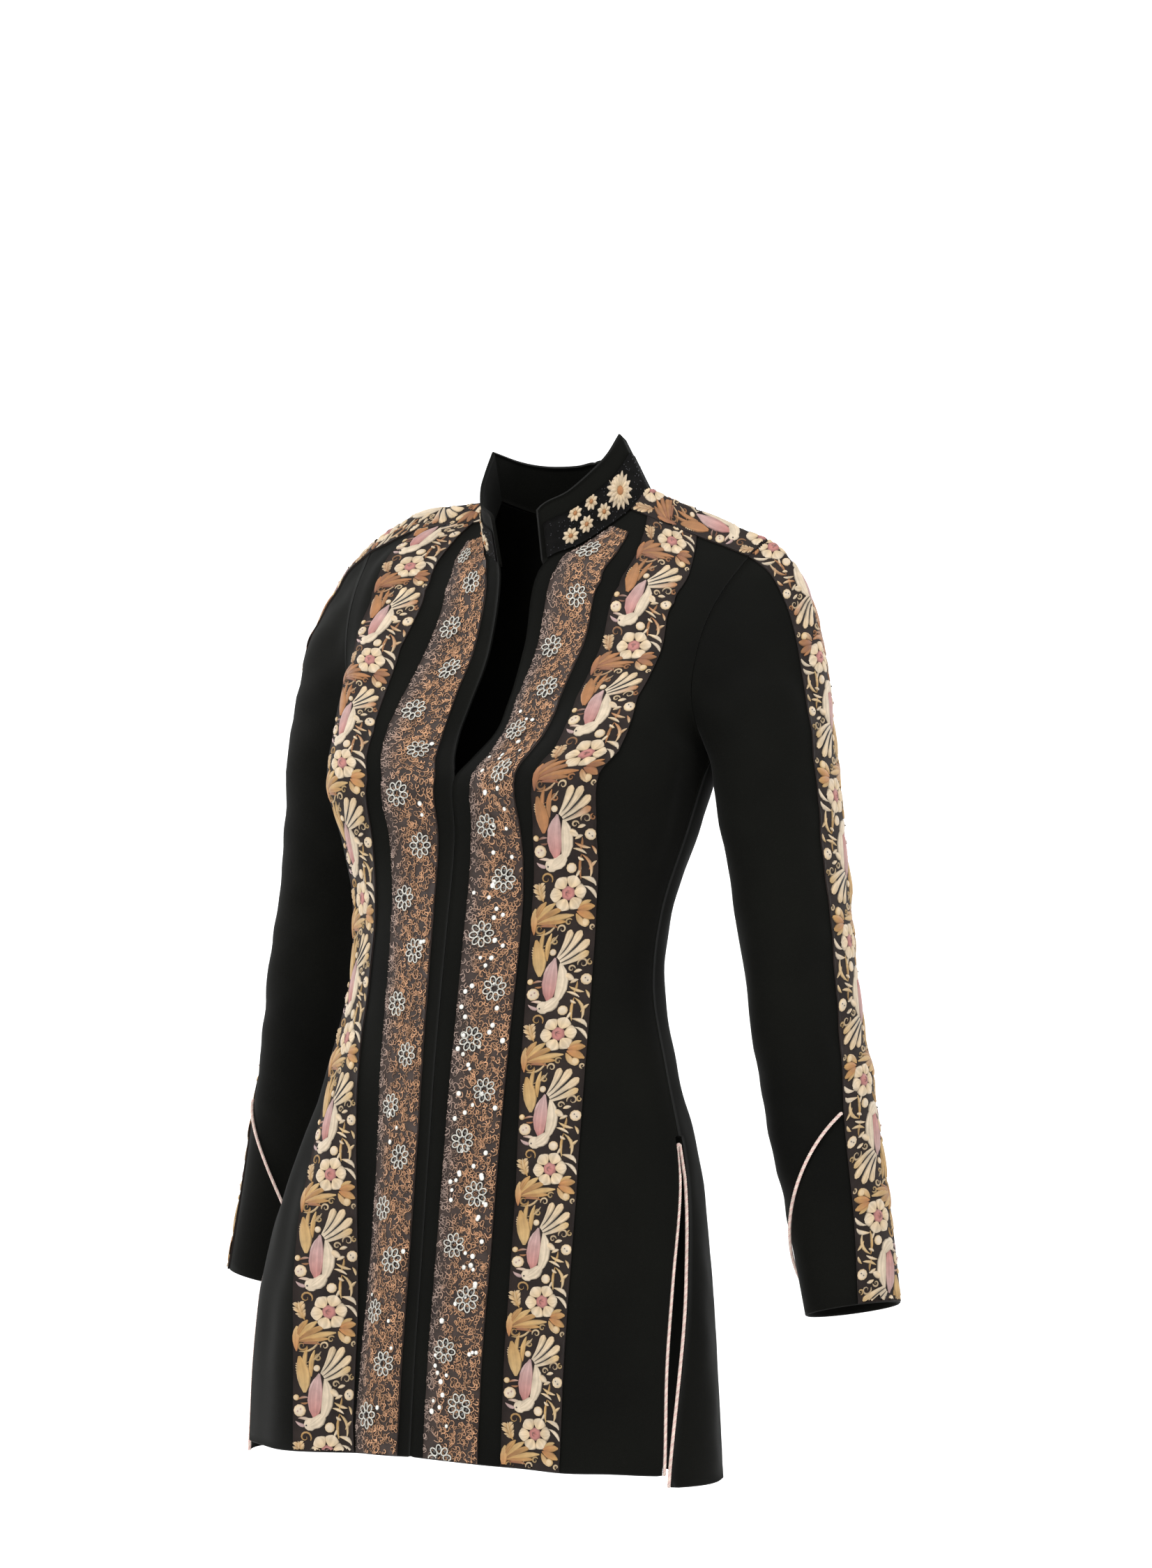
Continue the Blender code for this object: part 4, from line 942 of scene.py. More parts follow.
for item in cords:
    run = run_along(item.path)
    steps = np.linspace(0, run[-1], int(run[-1] / CORD_TWIST * STEPS_A_TWIST))
    line, hint = read_along(item.path, run, steps), read_along(item.sideways, run, steps)
    along = unit(np.gradient(line, axis=0))
    side = unit(hint - along * np.sum(hint * along, axis=1)[:, None])
    up = np.cross(along, side)
    points, faces, tints = [], [], []
    for strand, tint in enumerate(STRAND_TINTS):
        angle = steps / CORD_TWIST * 2 * math.pi + strand * 2 * math.pi / len(STRAND_TINTS)
        helix = line + STRAND_OUT * (side * np.cos(angle)[:, None] + up * np.sin(angle)[:, None])
        ring_points, quads = tube(helix, STRAND_RADIUS, STRAND_SIDES, side)
        faces += (quads + sum(len(x) for x in points)).tolist()
        points.append(ring_points)
        tints.append(np.tile(tint, (len(ring_points), 1)))
    piece = mesh_piece(item.name, np.concatenate(points), faces, looks["thread"])
    keep_tints(piece.data, np.concatenate(tints))
    hand_over(piece, "piping", item.node)


# %% [markdown]
# ## Embroidery as real stitches
# The bands are worked in satin stitch: each petal, leaf and feather is a padded shape covered by
# threads that run from its base to its tip. One helper, the blade, makes such a shape with a ridge
# for each thread. Everything is drawn flat in millimetres first, across and along the band, because
# an embroiderer works on a flat strip. The finished strip is laid on the curved cloth at the end.

# %% Thread colours and the blade
TINTS = {
    "ivory": (0.50, 0.41, 0.30), "cream": (0.50, 0.37, 0.22), "straw": (0.42, 0.28, 0.12),
    "gold": (0.35, 0.20, 0.065), "amber": (0.32, 0.135, 0.045), "ochre": (0.24, 0.11, 0.038),
    "copper": (0.19, 0.072, 0.032), "mauve": (0.37, 0.25, 0.23), "blush": (0.44, 0.28, 0.23),
    "rose": (0.36, 0.14, 0.12), "rosewood": (0.24, 0.10, 0.09), "slate": (0.022, 0.022, 0.026),
    "silver": (0.50, 0.49, 0.44), "steel": (0.12, 0.115, 0.11), "white": (0.80, 0.79, 0.74),
}
MILLI = 0.001            # the embroidery's unit, in metres
draw = np.random.default_rng(11)


class Work:
    """Points, faces and thread colours of flat embroidery, in millimetres: across, along, up."""

    def __init__(self):
        self.points, self.faces, self.tints, self.count = [], [], [], 0

    def add(self, points, faces, tints):
        self.points.append(points)
        self.faces.append(faces + self.count)
        self.tints.append(tints)
        self.count += len(points)

    def thing(self, name, look):
        points, faces, tints = self.flat()
        piece = mesh_piece(name, points, faces.tolist(), look)
        keep_tints(piece.data, tints)
        return piece

    def flat(self):
        """Everything so far, in metres."""
        return np.concatenate(self.points) * MILLI, np.concatenate(self.faces), np.concatenate(self.tints)


def grid_quads(rows, columns):
    """Quads between the points of a grid."""
    index = np.arange(rows * columns).reshape(rows, columns)
    return np.stack([index[:-1, :-1], index[:-1, 1:], index[1:, 1:], index[1:, :-1]], axis=-1).reshape(-1, 4)


def blade(work, path, width, base, tip=None, blunt=1.0, strands=3, height=0.8, rows=6):
    """A padded shape along a path, covered by ridged threads, with a shaded outline.

    blunt above 1 is widest near the tip. At 0 it is a feather, which widens up to a round tip.
    """
    path = np.asarray(path, float)
    run = run_along(path)
    if blunt:
        share = np.linspace(0, 1, rows)
        half = width / 2 * np.sin(math.pi * np.clip(share, 0.025, 0.975) ** blunt) ** 0.7
    else:
        share = np.array([0, 0.3, 0.6, 0.8, 0.92, 1.0])
        half = width / 2 * (0.32 + 0.68 * share) * np.sqrt(1 - np.clip((share - 0.79) / 0.215, 0, 1) ** 2)
    rows = len(share)
    line = np.stack([np.interp(share * run[-1], run, path[:, k]) for k in (0, 1)], axis=-1)
    along = unit(np.gradient(line, axis=0))
    side = np.stack([along[:, 1], -along[:, 0]], axis=-1)
    across = np.linspace(-1, 1, 2 * strands + 1)
    ridge = 0.16 * (np.arange(len(across)) % 2)
    points = line[:, None] + side[:, None] * half[:, None, None] * across[None, :, None]
    up = height * (half / half.max())[:, None] ** 0.5 * np.sqrt(np.maximum(1 - across**2, 0))[None] + ridge
    up = np.where(np.abs(across)[None] > 0.999, -0.05, up)
    first, last = np.array(TINTS[base]), np.array(TINTS[tip or base])
    tint = first + (last - first) * share[:, None, None] ** 1.3
    rim = (np.abs(across) > 0.99)[None, :, None]
    tint = tint * draw.uniform(0.82, 1.12, (1, len(across), 1)) * (1 - 0.72 * rim)
    work.add(np.concatenate([points, up[..., None]], axis=-1).reshape(-1, 3), grid_quads(rows, len(across)),
             np.broadcast_to(tint, (rows, len(across), 3)).reshape(-1, 3))


def bowed(x, y, to_x, to_y, bend=0.0):
    """A path from one point to another that bows to the left of its way by bend."""
    start, end = np.array([x, y], float), np.array([to_x, to_y], float)
    way = end - start
    middle = (start + end) / 2 + 2 * bend * np.array([-way[1], way[0]]) / np.linalg.norm(way)
    t = np.linspace(0, 1, 12)[:, None]
    return (1 - t) ** 2 * start + 2 * (1 - t) * t * middle + t**2 * end


def dome(work, x, y, radius, tint, height=0.8, sides=10, rim=None):
    """A round padded dot."""
    angles = np.arange(sides + 1) * 2 * math.pi / sides
    shares = np.array([0.02, 0.55, 0.88, 1.0])
    out = radius * shares[:, None]
    up = np.broadcast_to((height * np.sqrt(1 - shares**2) - 0.04)[:, None], (4, sides + 1))
    points = np.stack([x + out * np.cos(angles), y + out * np.sin(angles), up], axis=-1)
    tints = np.broadcast_to(np.array(TINTS[tint]), (4, sides + 1, 3)).copy()
    tints[2] = np.array(TINTS[rim or tint])
    tints[3] = np.array(TINTS[rim or tint]) * 0.35
    work.add(points.reshape(-1, 3), grid_quads(4, sides + 1), tints.reshape(-1, 3))


def curl(work, x, y, radius, tint, start=0.0, turns=1.15, width=1.7, way=1):
    """A thread scroll that winds in to its middle."""
    angle = math.radians(start) + way * np.linspace(0, turns * 2 * math.pi, 20)
    size = radius * np.linspace(1.0, 0.25, 20)
    blade(work, np.stack([x + size * np.cos(angle), y + size * np.sin(angle)], axis=-1), width, tint,
          strands=1, height=0.7, rows=12, blunt=0.7)


def flower(work, x, y, radius, inner, petals, width, petal, tip, middle, turn=0.0, stitches=0):
    """Round padded petals about a worked middle with crossing dark stitches."""
    for i in range(petals):
        angle = math.radians(turn + 360 * i / petals)
        way = np.array([math.cos(angle), math.sin(angle)])
        start, end = np.array([x, y]) + way * inner * 0.7, np.array([x, y]) + way * radius
        blade(work, [start, end], width, petal, tip, blunt=1.35, strands=5, height=1.1, rows=8)
    dome(work, x, y, inner, middle, height=1.3, sides=14, rim="rosewood")
    for i in range(stitches):
        angle = math.pi * i / max(stitches, 1) + 0.4
        way = np.array([math.cos(angle), math.sin(angle)]) * inner * 0.62
        shift = np.array([-way[1], way[0]]) * draw.uniform(-0.5, 0.5)
        at = np.array([x, y]) + shift
        blade(work, [at - way * 0.8, at + way * 0.8], 0.7, "rosewood", "mauve", strands=1, height=1.55,
              rows=5)


def frond(work, x, y, to_x, to_y, pairs, length, width, base, tip, bend=0.0):
    """A feathered leaf: a midrib with leaflets on both sides."""
    line = bowed(x, y, to_x, to_y, bend)
    for i in range(pairs):
        k = 1 + int(9 * i / pairs)
        way = line[k + 1] - line[k]
        way /= np.linalg.norm(way)
        grown = math.sin(math.pi * (0.22 + 0.62 * i / pairs))
        for side in (-1, 1):
            out = way * 0.72 + side * np.array([-way[1], way[0]]) * 0.70
            blade(work, bowed(*line[k], *(line[k] + out * length * grown), side * -0.5), width, base, tip,
                  strands=2, rows=5, height=0.7)
    blade(work, line, width, base, tip, strands=2, height=1.0, blunt=0.8)


# %% [markdown]
# ## One repeat of the bird and flower band
# Between two birds the band shows one open flower, feathered leaves, scrolls, tendrils and buds. The
# tables hold one repeat, drawn 100 mm long, with its zero at the root of the bird's tail. Up is
# towards the shoulder on the fronts. A bird dives head down, with its tail fanned to the outside.

# %% Tables of one repeat
# x is across the band and y along it, in millimetres
Leaf = namedtuple("Leaf", "x y to_x to_y width bend blunt base tip")
LEAVES = (
    # the bird's tail of four fused feathers, then the dark lines between them
    Leaf(20.8, 3.0, 29.0, 22.5, 6.6, -0.9, 0, "ivory", "cream"),
    Leaf(21.6, 2.0, 36.4, 22.0, 7.0, -1.1, 0, "ivory", "cream"),
    Leaf(22.6, 0.5, 42.3, 15.6, 7.0, -1.0, 0, "ivory", "cream"),
    Leaf(23.6, -1.5, 42.4, 7.6, 6.2, -0.6, 0, "ivory", "straw"),
    Leaf(21.0, 3.5, 31.6, 19.0, 1.15, -1.0, 1.0, "slate", "slate"),
    Leaf(22.2, 1.5, 37.4, 16.4, 1.15, -1.0, 1.0, "slate", "slate"),
    Leaf(23.4, -0.5, 37.6, 8.6, 1.15, -0.8, 1.0, "slate", "slate"),
    # its pale belly and neck, wing, body, foot and beak
    Leaf(23.4, -0.5, 20.5, -31.0, 9.0, 3.4, 0.95, "ivory", "ivory"),
    Leaf(23.5, -25.0, 11.5, -35.0, 9.6, 1.4, 1.0, "ivory", "ivory"),
    Leaf(19.2, 3.2, 16.6, -29.5, 11.6, -1.2, 1.15, "mauve", "rose"),
    Leaf(18.0, 1.5, 12.8, -16.5, 4.6, -1.2, 1.0, "mauve", "mauve"),
    Leaf(25.0, -9.0, 33.5, -13.0, 5.6, 0.6, 0.9, "cream", "ivory"),
    Leaf(9.5, -34.5, 2.2, -31.2, 3.0, 0.8, 0.7, "mauve", "mauve"),
    Leaf(12.5, -30.0, 4.2, -29.0, 2.6, -0.6, 0.7, "ivory", "blush"),
    # the dense leaf to the left of the tail, under its frond
    Leaf(9.0, -10.5, 4.6, 15.5, 10.5, -1.0, 0.95, "straw", "gold"),
    Leaf(13.5, 1.0, 15.4, 20.0, 4.0, 1.2, 1.0, "gold", "straw"),
    Leaf(9.5, 4.0, 10.5, 22.0, 3.6, 1.6, 1.1, "straw", "gold"),
    Leaf(4.5, 19.0, 18.5, 27.0, 2.0, -3.0, 1.0, "straw", "cream"),
    Leaf(10.0, 11.0, 20.0, 19.0, 2.2, -1.4, 1.0, "straw", "cream"),
    # twigs to the left of the body
    Leaf(4.0, -15.5, 11.5, -14.0, 2.0, 0.8, 1.0, "amber", "blush"),
    Leaf(6.0, -18.0, 11.5, -17.6, 1.8, -0.6, 1.0, "amber", "amber"),
    # leaves and twigs to the right of the body
    Leaf(33.0, -7.0, 38.5, -5.5, 3.0, 0.4, 1.0, "cream", "ivory"),
    Leaf(30.5, -17.5, 41.0, -21.5, 2.6, -0.8, 1.0, "straw", "cream"),
    Leaf(31.0, -15.0, 36.5, -12.5, 3.0, 0.5, 1.0, "cream", "ivory"),
    Leaf(36.0, -13.5, 33.0, -24.0, 2.2, 0.8, 1.0, "gold", "straw"),
    Leaf(29.0, -21.5, 38.0, -25.5, 2.4, 0.8, 1.0, "cream", "ivory"),
    Leaf(35.0, -26.0, 40.5, -42.0, 2.8, 3.2, 1.0, "straw", "cream"),
    Leaf(34.5, -25.5, 34.0, -43.0, 2.4, -1.2, 1.0, "gold", "straw"),
    Leaf(34.0, -34.0, 30.0, -41.5, 2.6, 0.6, 1.2, "cream", "ivory"),
    Leaf(39.5, -36.5, 45.0, -30.5, 2.6, 0.5, 1.1, "straw", "cream"),
    Leaf(34.0, -41.5, 43.5, -46.0, 2.8, 1.2, 1.1, "cream", "ivory"),
    Leaf(36.0, -30.0, 32.0, -27.5, 2.8, 0.4, 1.1, "cream", "ivory"),
    Leaf(42.0, -20.0, 44.8, -26.0, 2.4, 0.6, 1.1, "straw", "cream"),
    # the large wing-shaped leaf below the flower
    Leaf(2.5, 27.5, 10.5, 41.5, 5.6, 0.8, 1.2, "ochre", "gold"),
    Leaf(3.0, 27.5, 17.0, 40.5, 5.4, 0.8, 1.2, "gold", "straw"),
    Leaf(3.5, 27.0, 23.5, 37.5, 5.2, 0.8, 1.2, "ochre", "gold"),
    Leaf(4.0, 26.5, 30.5, 32.5, 5.2, 0.7, 1.2, "gold", "straw"),
    Leaf(4.0, 26.0, 25.5, 28.0, 4.4, 0.6, 1.1, "ochre", "gold"),
    Leaf(2.6, 19.0, 3.0, 37.0, 6.0, 0.5, 1.2, "amber", "straw"),
    Leaf(6.5, 24.5, 19.5, 24.0, 3.0, 1.2, 1.0, "copper", "ochre"),
    # tendrils and leaves to the right of the flower
    Leaf(35.0, 58.0, 44.8, 52.5, 3.0, 2.4, 1.2, "ivory", "ivory"),
    Leaf(36.5, 52.5, 45.5, 44.0, 3.0, 1.8, 1.2, "ivory", "ivory"),
    Leaf(33.0, 36.5, 45.0, 38.5, 6.2, 0.5, 1.0, "amber", "gold"),
    Leaf(32.5, 35.0, 45.0, 30.0, 6.2, 0.4, 1.0, "amber", "gold"),
    Leaf(33.5, 38.0, 42.0, 42.5, 4.0, 0.4, 1.0, "gold", "straw"),
    Leaf(32.0, 33.5, 39.0, 24.5, 4.8, -0.5, 1.0, "gold", "cream"),
)
Frond = namedtuple("Frond", "x y to_x to_y pairs length width base tip bend")
FRONDS = (
    Frond(8.5, 41.5, 4.2, 54.5, 6, 6.6, 2.6, "gold", "cream", 0.8),
    Frond(8.6, -10.0, 4.2, 14.5, 8, 7.0, 2.6, "gold", "cream", -1.2),
)
Curl = namedtuple("Curl", "x y radius tint start way")
CURLS = (
    Curl(9.5, 57.5, 4.6, "gold", -30, 1),
    Curl(39.0, -0.5, 4.0, "cream", 200, -1),
    Curl(31.2, -4.4, 2.6, "cream", 0, 1),
    Curl(22.5, 23.0, 3.2, "cream", 200, -1),
    Curl(18.2, 14.6, 2.6, "straw", 90, 1),
    Curl(6.6, 23.0, 3.6, "gold", 0, -1),
    Curl(43.8, 0.5, 2.2, "straw", 90, 1),
    Curl(27.0, 27.8, 2.6, "straw", 30, 1),
    Curl(44.0, 24.5, 2.0, "cream", 270, -1),
)
Dot = namedtuple("Dot", "x y radius tint rim")
DOTS = (
    Dot(13.0, -33.2, 4.9, "ivory", "ivory"),
    Dot(10.6, -34.0, 0.8, "slate", "slate"),
    Dot(17.2, 7.0, 2.5, "ivory", "cream"),
    Dot(5.2, -23.5, 4.7, "ivory", "cream"),
    Dot(2.6, -14.2, 2.3, "cream", "straw"),
    Dot(42.0, -12.0, 4.3, "ivory", "cream"),
    Dot(27.2, -35.2, 3.8, "ivory", "cream"),
    Dot(27.2, -35.2, 1.4, "blush", "rose"),
    Dot(38.6, 27.5, 3.2, "cream", "straw"),
    Dot(4.2, -24.0, 0.8, "mauve", "rosewood"),
    Dot(6.4, -22.4, 0.8, "mauve", "rosewood"),
    Dot(41.2, -11.2, 0.7, "steel", "steel"),
    Dot(43.0, -13.0, 0.7, "steel", "steel"),
)


THREAD = 1.5             # width of one ridge of thread, in millimetres


def one_repeat(name, swap):
    """One repeat of the band. swap gives other thread colours for the parts worked in copper."""
    def dyed(tint):
        return swap.get(tint, tint)

    work = Work()
    for leaf in LEAVES:
        blade(work, bowed(leaf.x, leaf.y, leaf.to_x, leaf.to_y, leaf.bend), leaf.width, dyed(leaf.base),
              dyed(leaf.tip), leaf.blunt, strands=max(1, round(leaf.width / THREAD)),
              height=1.55 if leaf.base == "slate" else 0.5 + 0.1 * leaf.width)
    for f in FRONDS:
        frond(work, f.x, f.y, f.to_x, f.to_y, f.pairs, f.length, f.width, dyed(f.base), dyed(f.tip), f.bend)
    for c in CURLS:
        curl(work, c.x, c.y, c.radius, dyed(c.tint), c.start, way=c.way)
    flower(work, 25.5, 47.4, 12.8, 5.2, 6, 11.2, "cream", "ivory", "rose", turn=8, stitches=5)
    for d in DOTS:
        dome(work, d.x, d.y, d.radius, d.tint, height=1.2 if d.radius > 1 else 1.9, rim=d.rim)
    piece = work.thing(name, looks["thread"])
    print(name, len(piece.data.polygons), "faces")
    return piece


# %% [markdown]
# ## Repeating a motif with Geometry Nodes
# A woven or machine-worked band repeats its motif at a fixed pitch, loose curls of wire are strewn
# at random, and rosettes sit at chosen places. One builder makes a node tree for each of the three
# cases. All end in Realize Instances and Set Material, so they give plain meshes.

# %% The repeat tree
def repeat_tree(kind):
    """kind is line, scatter or points: how the places for the motif are found."""
    tree = bpy.data.node_groups.new(f"repeat_on_{kind}", "GeometryNodeTree")
    face = tree.interface
    face.new_socket("Geometry", in_out="INPUT", socket_type="NodeSocketGeometry")
    for label, kind_of, value in (
            ("Motif", "NodeSocketObject", None), ("Thread", "NodeSocketMaterial", None),
            ("Count", "NodeSocketInt", 7), ("Pitch", "NodeSocketFloat", 0.095),
            ("Start", "NodeSocketFloat", 0.0), ("Density", "NodeSocketFloat", 60000.0),
            ("Seed", "NodeSocketInt", 1), ("Turn", "NodeSocketFloat", 0.0),
            ("Smallest", "NodeSocketFloat", 1.0), ("Largest", "NodeSocketFloat", 1.0)):
        made = face.new_socket(label, in_out="INPUT", socket_type=kind_of)
        if value is not None:
            made.default_value = value
    face.new_socket("Geometry", in_out="OUTPUT", socket_type="NodeSocketGeometry")
    nodes, links = tree.nodes, tree.links
    into, out = nodes.new("NodeGroupInput"), nodes.new("NodeGroupOutput")
    motif, place = nodes.new("GeometryNodeObjectInfo"), nodes.new("GeometryNodeInstanceOnPoints")
    links.new(into.outputs["Motif"], motif.inputs["Object"])
    links.new(motif.outputs["Geometry"], place.inputs["Instance"])
    if kind == "line":
        line = nodes.new("GeometryNodeMeshLine")
        start, step = nodes.new("ShaderNodeCombineXYZ"), nodes.new("ShaderNodeCombineXYZ")
        links.new(into.outputs["Start"], start.inputs["Y"])
        links.new(into.outputs["Pitch"], step.inputs["Y"])
        links.new(into.outputs["Count"], line.inputs["Count"])
        links.new(start.outputs[0], line.inputs["Start Location"])
        links.new(step.outputs[0], line.inputs["Offset"])
        links.new(line.outputs["Mesh"], place.inputs["Points"])
    elif kind == "scatter":
        strew = nodes.new("GeometryNodeDistributePointsOnFaces")
        links.new(into.outputs["Geometry"], strew.inputs["Mesh"])
        links.new(into.outputs["Density"], strew.inputs["Density"])
        links.new(into.outputs["Seed"], strew.inputs["Seed"])
        links.new(strew.outputs["Points"], place.inputs["Points"])
    else:
        links.new(into.outputs["Geometry"], place.inputs["Points"])
    if kind != "line":
        turn, size = nodes.new("FunctionNodeRandomValue"), nodes.new("FunctionNodeRandomValue")
        turned = nodes.new("ShaderNodeCombineXYZ")
        links.new(into.outputs["Turn"], turn.inputs[3])
        links.new(into.outputs["Seed"], turn.inputs["Seed"])
        links.new(turn.outputs[1], turned.inputs["Z"])
        links.new(turned.outputs[0], place.inputs["Rotation"])
        links.new(into.outputs["Smallest"], size.inputs[2])
        links.new(into.outputs["Largest"], size.inputs[3])
        links.new(into.outputs["Seed"], size.inputs["Seed"])
        links.new(size.outputs[1], place.inputs["Scale"])
    realize, dress = nodes.new("GeometryNodeRealizeInstances"), nodes.new("GeometryNodeSetMaterial")
    links.new(place.outputs["Instances"], realize.inputs["Geometry"])
    links.new(realize.outputs["Geometry"], dress.inputs["Geometry"])
    links.new(into.outputs["Thread"], dress.inputs["Material"])
    links.new(dress.outputs["Geometry"], out.inputs["Geometry"])
    return tree


TREES = {kind: repeat_tree(kind) for kind in ("line", "scatter", "points")}


def repeated(kind, base_points, base_faces, motif, look, **inputs):
    """Runs a tree on a flat base and gives back the flat result: points, faces and tints."""
    base = mesh_piece("strip_base", base_points, base_faces)
    modifier = base.modifiers.new("repeat", "NODES")
    modifier.node_group = TREES[kind]
    sockets = {item.name: item.identifier for item in TREES[kind].interface.items_tree
               if item.in_out == "INPUT"}
    modifier[sockets["Motif"]], modifier[sockets["Thread"]] = motif, look
    for label, value in inputs.items():
        modifier[sockets[label]] = value
    view = bpy.context.evaluated_depsgraph_get()
    mesh = bpy.data.meshes.new_from_object(base.evaluated_get(view))
    base.modifiers.clear()
    points = np.empty(3 * len(mesh.vertices))
    mesh.vertices.foreach_get("co", points)
    tints = np.empty(4 * len(mesh.vertices))
    mesh.attributes["tint"].data.foreach_get("color", tints)
    corners = np.empty(len(mesh.loops), int)
    mesh.loops.foreach_get("vertex_index", corners)
    bpy.data.objects.remove(base, do_unlink=True)
    bpy.data.meshes.remove(mesh)
    return points.reshape(-1, 3), corners.reshape(-1, 4), tints.reshape(-1, 4)[:, :3]


# %% [markdown]
# ## Laying the flat work on the curved band
# Each flat point is read as so far across and so far along the band, and so high above it. The
# band's own grid gives the place and the normal there. What falls past an end of the band is cut.

# %% Flat to curved
STRAY = 0.0004           # how far past the band's side a stitch may reach


def strip_length(grid):
    """Mean length of the grid's columns."""
    return float(steps_along(grid, 0).sum(axis=0).mean())


def laid(name, grid, facing, flat, faces, tints, look, width, lift=LIFT, margin=0.0):
    """The flat work as a mesh on the grid.

    Across runs over the grid's columns and along over its rows.
    """
    run = np.concatenate([[0], np.cumsum(steps_along(grid, 0).mean(axis=1))])
    inside = ((flat[:, 1] > margin) & (flat[:, 1] < run[-1] - margin)
              & (flat[:, 0] > -STRAY) & (flat[:, 0] < width + STRAY))
    faces = faces[inside[faces].all(axis=1)]
    used, faces = np.unique(faces, return_inverse=True)
    flat, tints = flat[used], tints[used]
    row = np.interp(flat[:, 1], run, np.arange(len(run)))
    column = np.clip(flat[:, 0] / width, 0, 1) * (grid.shape[1] - 1)
    i, j = np.minimum(row.astype(int), grid.shape[0] - 2), np.minimum(column.astype(int), grid.shape[1] - 2)
    u, v = (row - i)[:, None], (column - j)[:, None]

    def read(table):
        return (table[i, j] * (1 - u) * (1 - v) + table[i + 1, j] * u * (1 - v)
                + table[i, j + 1] * (1 - u) * v + table[i + 1, j + 1] * u * v)

    normal = unit(read(facing))
    points = read(grid) + normal * (lift + flat[:, 2:3])
    faces = faces.reshape(-1, 4)
    a, b, c = (points[faces[:, k]] for k in range(3))
    if np.sum(np.cross(b - a, c - b) * normal[faces[:, 0]]) < 0:
        faces = faces[:, ::-1]
    piece = mesh_piece(name, points, faces.tolist(), look)
    keep_tints(piece.data, tints)
    return piece


def joined(parts):
    """Several flat works, each of points, faces and tints, as one."""
    starts = np.cumsum([0] + [len(points) for points, _, _ in parts])
    faces = [faces + start for (_, faces, _), start in zip(parts, starts)]
    return (np.concatenate([part[0] for part in parts]), np.concatenate(faces),
            np.concatenate([part[2] for part in parts]))


on_cloth = {}


def sewn_on(piece, slot, ground):
    """The work rides on the body and belongs to its ground."""
    hand_over(piece, slot)
    on_cloth.setdefault(ground, []).append(piece)
    print(f"{piece.name}: {len(piece.data.polygons)} faces")


# %% [markdown]
# ## The embroidered bands
# The same band is used everywhere, so it isn't mirrored on the other side. On the sleeves it runs
# the other way up. Its upper repeats are worked in copper and brown, the lower ones in gold. Each
# band has a table of the places where a tail starts, because the band eases over the bust.

# %% Bird bands on fronts, shoulders and sleeves
REPEAT = 0.1000
repeat = one_repeat("band_repeat", {})
dark_repeat = one_repeat("band_repeat_copper", {"gold": "ochre", "straw": "amber", "ochre": "copper",
                                                "amber": "copper"})
# tails are millimetres from the band's top; the first copper repeats are worked in copper
Band = namedtuple("Band", "name upside_down copper tails")
BANDS = (
    Band("bird_band_left", False, 3, (65.6, 167.4, 275, 380.6, 478.7, 572.6, 664)),
    Band("bird_band_right", False, 3, (4, 88.7, 182.6, 287.5, 393, 498.1, 598.3, 698.1)),
    Band("shoulder_band_left", False, 2, (55, 155)),
    Band("shoulder_band_right", False, 2, (52, 150)),
    Band("sleeve_band_left", True, 1, (58.5, 154.4, 261, 368, 463.8, 559.6)),
    Band("sleeve_band_right", True, 1, (60, 157, 254, 351, 448, 545)),
)
NO_POINTS = ([(0, 0, 0)], [])
for band in BANDS:
    grid, facing = band_grids[band.name]
    if band.name.startswith("shoulder"):
        grid, facing = grid.transpose(1, 0, 2), facing.transpose(1, 0, 2)
    if band.name.endswith("right"):
        grid, facing = grid[:, ::-1], facing[:, ::-1]
    tails = np.array(band.tails) * MILLI
    tails = np.concatenate([[2 * tails[0] - tails[1]], tails, [2 * tails[-1] - tails[-2]]])
    split = band.copper + 1
    parts = [repeated("line", *NO_POINTS, motif, looks["thread"], Count=last - first, Pitch=REPEAT,
                      Start=REPEAT * (first if band.upside_down else 1 - last))
             for motif, first, last in ((dark_repeat, 0, split), (repeat, split, len(tails))) if last > first]
    flat, faces, tints = joined(parts)
    # a motif's up is towards the band's top, or towards the cuff on a sleeve
    place = flat[:, 1] / REPEAT * (1 if band.upside_down else -1)
    i = np.clip(place.astype(int), 0, len(tails) - 2)
    along = tails[i] + (tails[i + 1] - tails[i]) * (place - i)
    across = BIRD_WIDTH - flat[:, 0] if band.upside_down else flat[:, 0]
    flat = np.stack([across, along, flat[:, 2]], axis=-1)
    piece = laid(f"{band.name}_stitches", grid, facing, flat, faces, tints, looks["thread"], BIRD_WIDTH,
                 margin=0.0006)
    sewn_on(piece, "band", f"{band.name}_ground")
for motif in (repeat, dark_repeat):
    bpy.data.objects.remove(motif, do_unlink=True)


# %% [markdown]
# ## The glittering ribbons
# The ribbons are brown gauze covered by couched curls of copper purl, a springy metal wire. Silver
# rosettes of eight wire loops lie in a zigzag down each ribbon, with small sequins strewn round them.

# %% Wire curls, rosettes and sequins
def wire(work, path, radius, tint, sides=3):
    """A thin wire along a flat path, in millimetres, resting on the ground."""
    path = np.asarray(path, float)
    if path.shape[1] == 2:
        path = np.concatenate([path, np.full((len(path), 1), radius)], axis=1)
    points, quads = tube(path, radius, sides)
    work.add(points, quads, np.tile(TINTS[tint], (len(points), 1)))


HOOK_WIRE, LOOP_WIRE, RING_WIRE = 0.30, 0.50, 0.40   # radii, in millimetres
LOOPS, LOOP_OUT, LOOP_LONG, LOOP_WIDE = 8, 5.9, 3.1, 2.1


